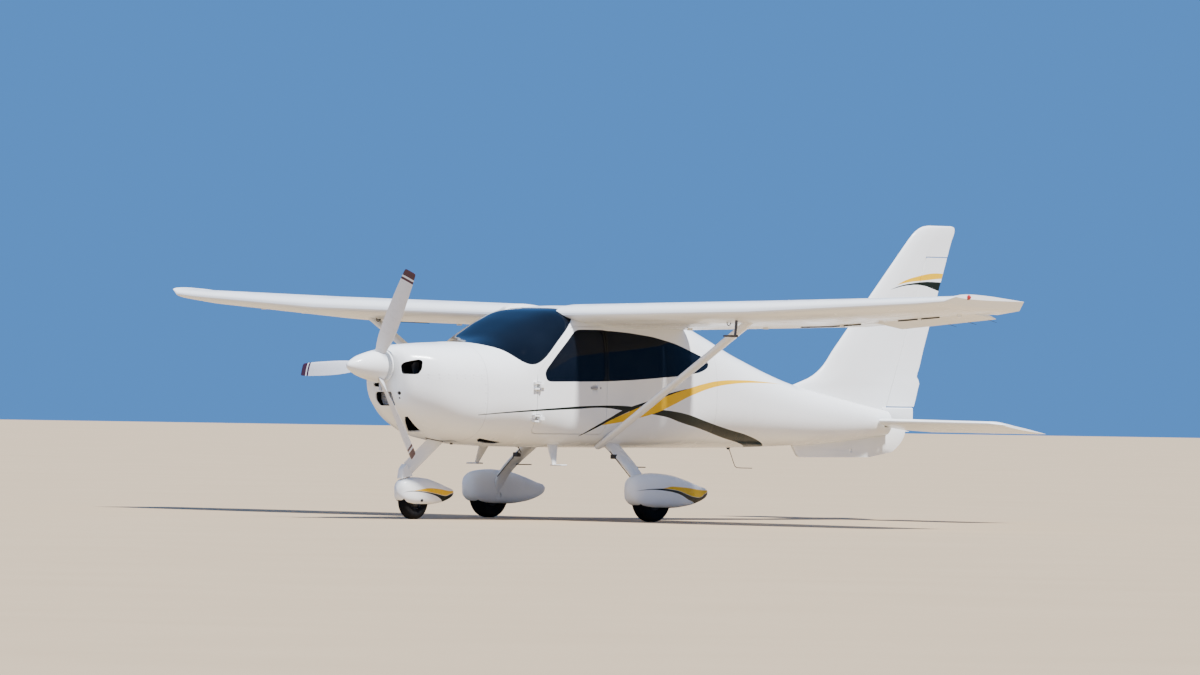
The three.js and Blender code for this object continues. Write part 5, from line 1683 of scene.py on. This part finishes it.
        # Near-black sheet just outside the skin round the pivot: painted shade in place of open slots.
        outline = rounded([(6.055, 0.775), (6.16, 0.775), (6.16, 0.836), (6.055, 0.836)], 0.02)
        patch = carve(HULL.solid(6.02, 6.1645, -0.0012), both(side_prism(outline, -0.2, 0.2)),
                      less(HULL.solid(5.9, 6.165)), less(bar((-0.3, 0.3), *self.pivot, self.tube + 0.002)))
        place("pivot_slots", patch, PAINTED_SHADE_BLACK)
        lamp = turned([(0.0, -0.006), (0.012, -0.006), (0.012, 0.006), (0.008, 0.014), (0.0, 0.016)],
                      at(0, self.fairing[1], self.lamp_height), AFTWARD, 28)
        place("tail_lamp", lamp, CLEAR_LENS)
        whip = carve(tube_along([at(0, *spot) for spot in self.whip], 0.003, 12), less(HULL.guard(4.0, 4.6)))
        place("whip_antenna", whip, BLACK)
        base = turned([(0.0, -0.004), (0.016, -0.004), (0.016, 0.004), (0.008, 0.016), (0.0, 0.016)],
                      at(0, self.whip_aft, HULL.height_at(self.whip_aft, 0.0, False)), Vector((0, 0.3, -1)),
                      28)
        place("whip_base", base, BLACK)
        place("belly_aerial", rod(*[at(0, *spot) for spot in self.aerial], 0.005, 0.003, 12), BLACK)

    def rivets(self) -> None:
        """Rivet rows along the tail cone's sides and round its joints."""
        spots = []
        for side, _ in SIDES:
            for aft in spread(3.74, 6.02, 0.045):
                spots.append(HULL.spot(aft, HULL.curve(aft)[3] + 0.0005, side))
            for aft in self.seams:
                low, high, _, wide, _ = HULL.curve(aft)
                for share in spread(-0.86, 0.86, 0.09):
                    height = wide + share * ((high - wide) if share > 0 else (wide - low))
                    spots.append(HULL.spot(aft, height, side))
        Repeat("tail_rivets", BODY_PAINT, Unit.STUD, (0.004, 0.0032, 0.0011), spots).build()

    def build(self) -> None:
        """Makes the tail."""
        self.fittings()
        self.rivets()
        self.cone()
        self.fin()
        self.keel()
        self.plane()


@dataclass
class Wheel:
    """A tyre on its rim."""

    name: str
    body: str
    aft: float
    out: float
    radius: float
    width: float
    bore: float
    axle: float = 0.016

    def tyre(self) -> Piece:
        """Tyre with round shoulders and three grooves."""
        r, half, seat = self.radius, self.width / 2, self.bore
        side = [
            (seat, half - 0.02), (seat + 0.006, half - 0.011), (seat + 0.014, half - 0.009),
            (seat + 0.03, half - 0.002), (r - 0.045, half), (r - 0.026, half - 0.003),
            (r - 0.012, half - 0.01), (r - 0.004, half - 0.02), (r - 0.0005, half - 0.03)]
        tread: list[Point] = []
        for centre in (-0.018, 0.0, 0.018):
            for step, deep in ((-0.0035, 0.0), (-0.0025, 0.004), (0.0025, 0.004), (0.0035, 0.0)):
                tread.append((r - deep, -(centre + step)))
        profile = [*side, *sorted(tread, key=lambda p: -p[1]), *[(a, -b) for a, b in reversed(side)]]
        return turned(profile, at(self.out, self.aft, self.radius), ACROSS, 72)

    def rim(self) -> Piece:
        """Split rim with a hub and round windows."""
        half, seat, bore = self.width / 2, self.bore - GAP, self.axle + 2 * GAP
        side = [(bore, half - 0.008), (0.034, half - 0.008), (0.04, half - 0.014), (0.046, half - 0.026),
                (seat - 0.016, half - 0.022), (seat - 0.008, half - 0.014), (seat - 0.002, half - 0.012),
                (seat, half - 0.016)]
        profile = [*side, *[(a, -b) for a, b in reversed(side)]]
        rim = turned(profile, at(self.out, self.aft, self.radius), ACROSS, 72)
        cuts = []
        for c, s in circle(6):
            spot = Vector((0, c, s)) * (0.046 + seat) / 2
            middle = at(self.out, self.aft, self.radius) + spot
            for way in (-1, 1):
                a = middle + Vector((way * (half - 0.045), 0, 0))
                cuts.append(less(rod(a, middle + Vector((way * half, 0, 0)), 0.008, sides=20)))
        return carve(rim, *cuts)

    def build(self) -> None:
        """Makes the tyre, and the rim in near black as painted shade."""
        place(f"{self.name}_tyre", self.tyre(), TYRE, body=self.body, angle=0.8)
        place(f"{self.name}_rim", self.rim(), RIM_PAINTED_SHADE, body=self.body)


@dataclass
class Cover:
    """A wheel cover, hollow and open below."""

    start: float
    end: float
    half: float
    low: float
    high: float
    centre: float
    skin: float = 0.006
    form: Table = (
        (-0.008, 0.04, 0.49, 0.55), (0.0, 0.22, 0.38, 0.66), (0.035, 0.62, 0.18, 0.86),
        (0.12, 0.88, 0.05, 0.96), (0.29, 1.0, 0.0, 1.0), (0.48, 0.92, 0.0, 0.96), (0.7, 0.63, 0.06, 0.81),
        (0.88, 0.34, 0.19, 0.64), (0.985, 0.13, 0.34, 0.55), (1.0, 0.04, 0.39, 0.5))
    square: Point = (0.85, 0.55)

    def solid(self, inset: float = 0.0) -> Piece:
        """Closed form of the cover, or of the room in it."""
        curve = Smooth(self.form)
        tall, length = self.high - self.low, self.end - self.start
        rings = []
        for along in [-0.008, -0.005, 0.0, 0.01, 0.02, 0.035, 0.055, 0.08, *spread(0.11, 1.0, 0.03)]:
            half, low, high = curve(along)
            z0, z1 = self.low + low * tall + inset, self.low + high * tall - inset
            wide = max(self.half * half - inset, 0.001)
            aft = self.start + inset + along * (length - 2 * inset)
            ring = []
            for c, s in circle(80):
                power = self.square[1] if s < 0 else self.square[0]
                ring.append(at(self.centre + wide * bulge(c, power), aft,
                               (z0 + z1) / 2 + max(z1 - z0, 0.002) / 2 * bulge(s, power)))
            rings.append(ring)
        return loft(rings)

    def shell(self, wheel: Wheel) -> Piece:
        """The hollow cover with room for its wheel."""
        half = wheel.width / 2 + 0.006
        room = bar((self.centre - half, self.centre + half), wheel.aft, wheel.radius, wheel.radius + 0.008,
                   sides=72)
        return carve(self.solid(), less(self.solid(self.skin)), less(room))


@dataclass
class Gear:
    """Nose and main gear."""

    nose_aft: float = 0.746
    steer_aft: float = 0.69
    main_aft: float = 2.497
    main_out: float = 0.937
    main_height: float = 0.18
    main_tyre: Point = (0.125, 0.084)
    nose_tyre: Triple = (0.142, 0.092, 0.064)
    main_cover: tuple[float, ...] = (2.236, 3.135, 0.122, 0.112, 0.392)
    nose_cover: tuple[float, ...] = (0.568, 1.192, 0.088, 0.118, 0.336)
    clamp: tuple[Point, Point, Point] = ((0.535, 0.59), (2.425, 2.47), (0.5, 0.536))
    plate: tuple[Point, Point, Point] = ((0.625, 0.69), (2.545, 2.68), (0.432, 0.44))
    leg: Table = ((0.0, 0.4, 0.652, 0.136, 0.041), (0.78, 0.8, 0.312, 0.106, 0.034),
                  (1.0, 0.838, 0.196, 0.073, 0.034))
    nose_top: Point = (1.015, 0.655)
    nose_foot: Point = (0.68, 0.405)
    nose_section: Point = (0.12, 0.044)
    steer_bore: float = 0.0154
    disc: Outline = ((0.0325, 0.862), (0.061, 0.862), (0.061, 0.866), (0.041, 0.866), (0.041, 0.8815),
                     (0.0325, 0.8815))
    fairing: Outline = ((0.715, 0.335), (0.712, 0.352), (0.642, 0.446), (0.604, 0.4), (0.592, 0.33),
                        (0.6, 0.27), (0.7, 0.27))

    def main(self, side: int, word: str) -> None:
        """One main leg with its wheel and cover."""
        wheel = Wheel(f"{word}_main", f"{word}_wheel", self.main_aft, side * self.main_out,
                      self.main_height, *self.main_tyre)
        wheel.build()
        path = Smooth(self.leg)
        rings = []
        for t in spread(0.0, 1.0, 0.05):
            rings.append(self.leg_ring(side, path, t, self.main_aft - 0.45 * path(t)[2], path(t)[2]))
        leg = loft(rings)
        guard = loft(widened(rings, 0.05))
        axle = bar(on(side, 0.83, 0.9895), self.main_aft, self.main_height, 0.016)
        hub = bar(on(side, 0.826, 0.8745), self.main_aft, self.main_height, 0.03)
        skin = HULL.guard(2.2, 2.8)
        carve(leg, plus(axle), plus(hub), less(skin))
        place(f"{word}_main_leg", leg, PLAIN_PAINT)
        self.leg_fairing(side, word, path)
        self.brake(side, word)
        cover = Cover(*self.main_cover, side * self.main_out)
        shell = cover.shell(wheel)
        hole = bar(on(side, 0.79, 0.87), self.main_aft, self.main_height, 0.0304)
        carve(shell, less(guard), less(hole))
        place(f"{word}_main_pant", shell, MAIN_COVER_PAINT)

    def leg_ring(self, side: int, path: Smooth, t: float, start: float, wide: float,
                 grown_by: float = 0.0) -> Ring:
        """Streamlined section across a main leg.

        Args:
            side: 1 for the left leg and -1 for the right one.
            path: out, height, chord and thickness along the leg.
            t: how far down the leg the section is, as a share.
            start: aft of its leading edge.
            wide: its chord.
            grown_by: how much thicker than the leg it is.

        Returns:
            Points round the section.
        """
        out, height, _, thick = path(t)
        ahead, behind = path(min(t + 0.02, 1.0)), path(max(t - 0.02, 0.0))
        along = Vector((ahead[0] - behind[0], 0, ahead[1] - behind[1])).normalized()
        across = Vector((-along.z * side, 0, along.x))
        return [at(side * out, start + (u + 0.5) * wide, height) + across * (v * (thick + grown_by))
                for u, v in foil_points(20, 0.0)]

    def leg_fairing(self, side: int, word: str, path: Smooth) -> None:
        """Tapered fairing round the upper part of a main leg, with its pipe clamp and small plate."""
        rings = []
        for t in spread(0.0, 0.82, 0.04):
            chord = path(t)[2]
            wide = chord + 0.006 + 0.045 * (1 - t) ** 1.2
            rings.append(self.leg_ring(side, path, t, self.main_aft - 0.45 * chord - 0.003, wide, 0.007))
        place(f"{word}_leg_fairing", carve(loft(rings), less(HULL.guard(2.2, 2.9))), PLAIN_PAINT)
        clamp, plate = (block(on(side, *x), aft, z, bevel)
                        for (x, aft, z), bevel in ((self.clamp, 0.006), (self.plate, 0.003)))
        pipe = rod(at(side * 0.52, 2.436, 0.56), at(side * 0.78, 2.44, 0.335), 0.004)
        place(f"{word}_leg_fittings", joined([clamp, pipe, plate]), BLACK)

    def brake(self, side: int, word: str) -> None:
        """Brake disc on the wheel and its caliper on the leg."""
        disc = turned(self.disc, at(0, self.main_aft, self.main_height), Vector((side, 0, 0)), 64)
        place(f"{word}_brake_disc", disc, CAST, body=f"{word}_wheel")
        body = block(on(side, 0.852, 0.8735), (self.main_aft + 0.04, self.main_aft + 0.07), (0.16, 0.2),
                     0.003)
        slot = block(on(side, 0.8605, 0.8675), (self.main_aft, self.main_aft + 0.064), (0.15, 0.21))
        arm = bar(side * 0.8545, (self.main_aft + 0.02, self.main_aft + 0.05), self.main_height, 0.006)
        carve(body, less(slot), plus(arm))
        place(f"{word}_caliper", body, CAST)

    def nose(self) -> None:
        """Nose leg, wheel and cover."""
        wheel = Wheel("nose", "nose_wheel", self.nose_aft, 0.0, *self.nose_tyre)
        wheel.build()
        top, bottom = Vector(self.nose_top), Vector(self.nose_foot)
        chord, thick = self.nose_section
        along = (bottom - top).normalized()
        fore = Vector((0, along.y, -along.x))
        rings = []
        for t in spread(0.0, 1.0, 0.1):
            aft, height = top + (bottom - top) * t
            rings.append([at(v * thick, aft, height) + fore * (u * chord) for u, v in foil_points(20, 0.0)])
        leg = loft(rings)
        sleeve = bar(0, self.steer_aft, (0.346, 0.42), 0.027)
        bore = bar(0, self.steer_aft, (0.336, 0.408), self.steer_bore)
        carve(leg, plus(sleeve), less(bore), less(HULL.guard(0.4, 1.3)))
        place("nose_leg", leg, PLAIN_PAINT)
        cover = Cover(*self.nose_cover, 0.0)
        fairing = side_prism(rounded(self.fairing, 0.012), -0.029, 0.029)
        soften(fairing, 0.016)
        carve(fairing, less(cover.solid(-0.012)), less(bar(0, self.steer_aft, (0.2, 0.347), 0.024)))
        place("nose_leg_fairing", fairing, PLAIN_PAINT)
        boot = carve(loft(widened(rings, 0.3)), both(HULL.solid(0.8, 1.3, -0.005)),
                     less(HULL.guard(0.7, 1.4)))
        place("nose_leg_boot", boot, BLACK)
        place("belly_drain", bar(0.029, 1.133, (0.599, 0.622), 0.012), BLACK)
        post = bar(0, self.steer_aft, (0.29, 0.346), self.steer_bore)
        shell = carve(cover.shell(wheel), less(post))
        place("nose_pant", shell, NOSE_COVER_PAINT, body="nose_steering")
        plugs = [bar(on(side, 0.078, 0.0872), 0.765, 0.152, 0.0115) for side, _ in SIDES]
        place("axle_plugs", joined(plugs), BLACK, body="nose_steering")

    def build(self) -> None:
        """Makes all three legs."""
        self.nose()
        for side, word in SIDES:
            self.main(side, word)


@dataclass
class Steps:
    """Entry steps below the doors, each a tapered stalk with a ribbed pad."""

    root: Triple = (0.388, 1.915, 0.61)
    foot: Triple = (0.448, 1.881, 0.446)
    chord: Point = (0.12, 0.04)
    thick: Point = (0.024, 0.015)
    pad: tuple[Point, Point, Point] = ((0.419, 0.549), (1.86, 1.93), (0.44, 0.452))

    def stalk(self, side: int) -> Piece:
        """Tapered stalk of one step."""
        rings = []
        for t in spread(0.0, 1.0, 0.1):
            out, aft, height = (a + (b - a) * t for a, b in zip(self.root, self.foot))
            chord, thick = (a + (b - a) * t for a, b in (self.chord, self.thick))
            rings.append([at(side * (out + v * thick), aft + u * chord, height)
                          for u, v in foil_points(16, 0.0)])
        return loft(rings)

    def build(self) -> None:
        """Makes both steps."""
        for side, word in SIDES:
            x, aft, z = self.pad
            pad = block(on(side, *x), aft, z, 0.005)
            carve(pad, plus(self.stalk(side)), less(HULL.guard(1.6, 2.3)))
            place(f"entry_step_{word}", pad, PLAIN_PAINT, slot="steel")
            spots = [(at(side * sum(x) / 2, a, z[1] + 0.0002), UP)
                     for a in spread(aft[0] + 0.01, aft[1] - 0.01, 0.009)]
            Repeat(f"step_grip_{word}", BLACK, Unit.PLATE, (0.108, 0.004, 0.002), spots, 0.02).build()


@dataclass
class Seats:
    """Two padded seats with sewn channels."""

    out: float = 0.248
    pads: tuple[tuple[str, Point, Triple, float, int], ...] = (
        ("seat_pan", (2.13, 0.79), (0.4, 0.46, 0.14), 0.03, 4),
        ("seat_back", (2.445, 1.14), (0.38, 0.56, 0.1), 1.3, 5),
        ("head_rest", (2.505, 1.39), (0.22, 0.12, 0.07), 1.3, 1))

    def cushion(self, centre: Vector, size: Vector, lean: float, channels: int) -> Piece:
        """Crowned cushion whose face is sewn into channels.

        Args:
            centre: its middle.
            size: its full width, length and thickness.
            lean: how far it leans back, in radians.
            channels: sewn lines along its width.

        Returns:
            The cushion.
        """
        across, around = 48, 48
        lines = [-0.8 + 1.6 * (j + 0.5) / channels for j in range(channels)]
        rings = []
        for i in range(1, across):
            t = -math.pi / 2 + math.pi * i / across
            cut, deep = bulge(math.sin(t), 0.35), abs(math.cos(t)) ** 0.35
            ring = []
            for c, s in circle(around):
                y, z = bulge(c, 0.3) * deep, bulge(s, 0.55) * deep
                seam = 1 - 0.05 * math.exp(-((abs(cut) - 0.68) / 0.035) ** 2)
                if abs(cut) < 0.66:
                    seam -= 0.045 * sum(math.exp(-((y - line) / 0.03) ** 2) for line in lines)
                crown = 1 + 0.18 * (1 - cut * cut) * (1 - y * y)
                ring.append(Vector((cut * size.x / 2, y * size.y / 2, z * size.z / 2 * seam * crown)))
            rings.append(ring)
        turn = Matrix.Rotation(lean, 3, "X")
        return loft([[centre + turn @ p for p in ring] for ring in rings])

    def build(self) -> None:
        """Makes both seats."""
        for side, word in SIDES:
            for part, spot, size, lean, channels in self.pads:
                piece = self.cushion(at(side * self.out, *spot), Vector(size), lean, channels)
                place(f"{part}_{word}", piece, HIDE, f"seat_{word}")


@dataclass
class Cockpit:
    """Instrument panel with its coaming, screens, dials and switches."""

    face: float = 1.4384
    back: float = 1.402
    screens: tuple[tuple[float, float, float, float], ...] = ((0.27, 1.145, 0.115, 0.075),
                                                              (-0.03, 1.145, 0.115, 0.075))
    dials: Outline = ((-0.215, 1.19), (-0.215, 1.1), (-0.31, 1.19), (-0.31, 1.1), (-0.4, 1.145),
                      (0.12, 1.205), (0.12, 1.12))

    outline: Outline = ((-0.6, 0.985), (0.6, 0.985), (0.6, 1.225), (0.42, 1.256), (-0.42, 1.256),
                        (-0.6, 1.225))
    hood: Outline = ((-0.6, 1.215), (-0.42, 1.246), (0.42, 1.246), (0.6, 1.215), (0.6, 1.229),
                     (0.42, 1.262), (-0.42, 1.262), (-0.6, 1.229))

    def board(self) -> Piece:
        """Panel board with a rolled coaming, trimmed to the cabin."""
        board = front_prism(rounded(self.outline, 0.03), self.back, self.face)
        hood = front_prism(self.hood, self.back - 0.06, self.face + 0.035)
        room = HULL.solid(HULL.firewall + 0.02, 3.6, 0.031, 0.041, 1.6)
        return carve(board, plus(hood), both(room))

    def build(self) -> None:
        """Makes the panel and its instruments."""
        place("instrument_panel", self.board(), BLACK)
        y = self.face
        parts = []
        for x, z, wide, tall in self.screens:
            rim = block((x - wide, x + wide), (y - 0.001, y + 0.012), (z - tall, z + tall), 0.006)
            inner = block((x - wide + 0.014, x + wide - 0.014), (y + 0.006, y + 0.02),
                          (z - tall + 0.014, z + tall - 0.014), 0.003)
            parts.append(carve(rim, less(inner)))
        for x, z in self.dials:
            profile = [(0.0, 0.0), (0.036, 0.0), (0.036, 0.007), (0.033, 0.01), (0.029, 0.01),
                       (0.028, 0.005), (0.0, 0.005)]
            parts.append(turned(profile, at(x, y - 0.001, z), AFTWARD, 36))
        place("instrument_rims", joined(parts), TRIM)
        spots = [(at(x, y + 0.004, 1.03), AFTWARD) for x in spread(-0.36, 0.36, 0.045)]
        Repeat("panel_switches", ALLOY, Unit.STUD, (0.0055, 0.0035, 0.016), spots).build()


@dataclass
class Studio:
    """Camera at the photograph's angle, floor and soft light."""

    distance: float = 95.0
    azimuth: float = math.radians(45)
    height: float = 1.256
    width: int = 1200
    tall: int = 675
    focal: float = 11656.5
    centre: Point = (658.0, 365.7)
    roll: float = 0.0154
    floor_end: float = 134.0
    floor_near: float = -160.0
    floor_half: float = 300.0
    sky: tuple[float, float, float, float] = (0.12, 0.39, 1.0, 1.0)
    sky_strength: float = 0.74
    lamps: tuple[tuple[str, float, float, Triple], ...] = (("key", 11.0, 6, (0.72, 0.0, 1.5)),
                                                           ("fill", 0.5, 60, (-0.3, -1.0, 0.6)))

    def camera(self) -> None:
        """Places the camera so that the aircraft falls where it does in the photograph."""
        made = bpy.data.cameras.new("camera")
        made.lens = self.focal / self.width * made.sensor_width
        made.clip_start, made.clip_end = 1.0, 3000.0
        camera = linked("camera", made)
        bpy.context.scene.camera = camera
        ahead, right = self.ways()
        camera.location = (-ahead.x * self.distance, -ahead.y * self.distance, self.height)
        across = (self.centre[0] - self.width / 2) / self.focal
        horizon = self.centre[1] - (self.centre[0] - self.width / 2) * self.roll - self.tall / 2
        look = (ahead - right * across + Vector((0, 0, horizon / self.focal))).normalized()
        side = look.cross(UP).normalized()
        top = side.cross(look)
        tilted = top * math.cos(self.roll) - side * math.sin(self.roll)
        level = look.cross(tilted).normalized()
        camera.rotation_mode = "QUATERNION"
        camera.rotation_quaternion = Matrix((level, tilted, -look)).transposed().to_quaternion()

    def light(self) -> None:
        """Soft key light from the front left, and a pale surround."""
        world = bpy.data.worlds.new("surround")
        bpy.context.scene.world = world
        world.use_nodes = True
        background = world.node_tree.nodes["Background"]
        for socket, value in zip(background.inputs, (self.sky, self.sky_strength)):
            socket.default_value = value
        for name, energy, size, direction in self.lamps:
            lamp = bpy.data.lights.new(name, "SUN")
            lamp.energy = energy
            lamp.angle = math.radians(size)
            made = linked(name, lamp)
            made.rotation_mode = "QUATERNION"
            made.rotation_quaternion = Vector(direction).to_track_quat("Z", "Y")

    def ways(self) -> tuple[Vector, Vector]:
        """Directions straight ahead of the camera and to its right, both level."""
        sine, cosine = math.sin(self.azimuth), math.cos(self.azimuth)
        return Vector((-sine, cosine, 0)), Vector((cosine, sine, 0))

    def ground(self) -> None:
        """Plain pale floor."""
        ahead, right = self.ways()
        near, end, half = self.floor_near, self.floor_end, self.floor_half
        corners = [ahead * u + right * v for u, v in ((near, -half), (near, half), (end, half), (end, -half))]
        mesh = mesh_of(corners, [(0, 1, 2, 3)])
        floor = linked("floor", mesh)
        graph = Graph("pale_floor")
        graph.set("Base Color", graph.mix(graph.noise(0.6, 4.0), (0.37, 0.27, 0.16), (0.42, 0.31, 0.19)))
        graph.set("Roughness", 0.9)
        mesh.materials.append(graph.material)

    def build(self) -> None:
        """Sets the whole stage."""
        self.camera()
        self.light()
        self.ground()


CAD_FINISHES = {"engine_block": CAST, "nose_fork": STEEL, "control_sticks": BLACK}


def dress_nodes() -> None:
    """Gives each CAD node that stays its own material."""
    for node, finish in CAD_FINISHES.items():
        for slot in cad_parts[node].material_slots:
            slot.material = material_of(finish)


def main() -> None:
    """Builds the aircraft in order and reports its pieces."""
    logging.basicConfig(level=logging.INFO, format="%(name)s %(message)s")
    Studio().build()
    for group in (Cabin(), Cowl(), Propeller(), Wings(), Tail(), Gear(), Steps(), Seats(), Cockpit()):
        group.build()
        LOG.info("%s done", type(group).__name__)
    dress_nodes()
    clear_tools()


if __name__ == "__main__":
    main()
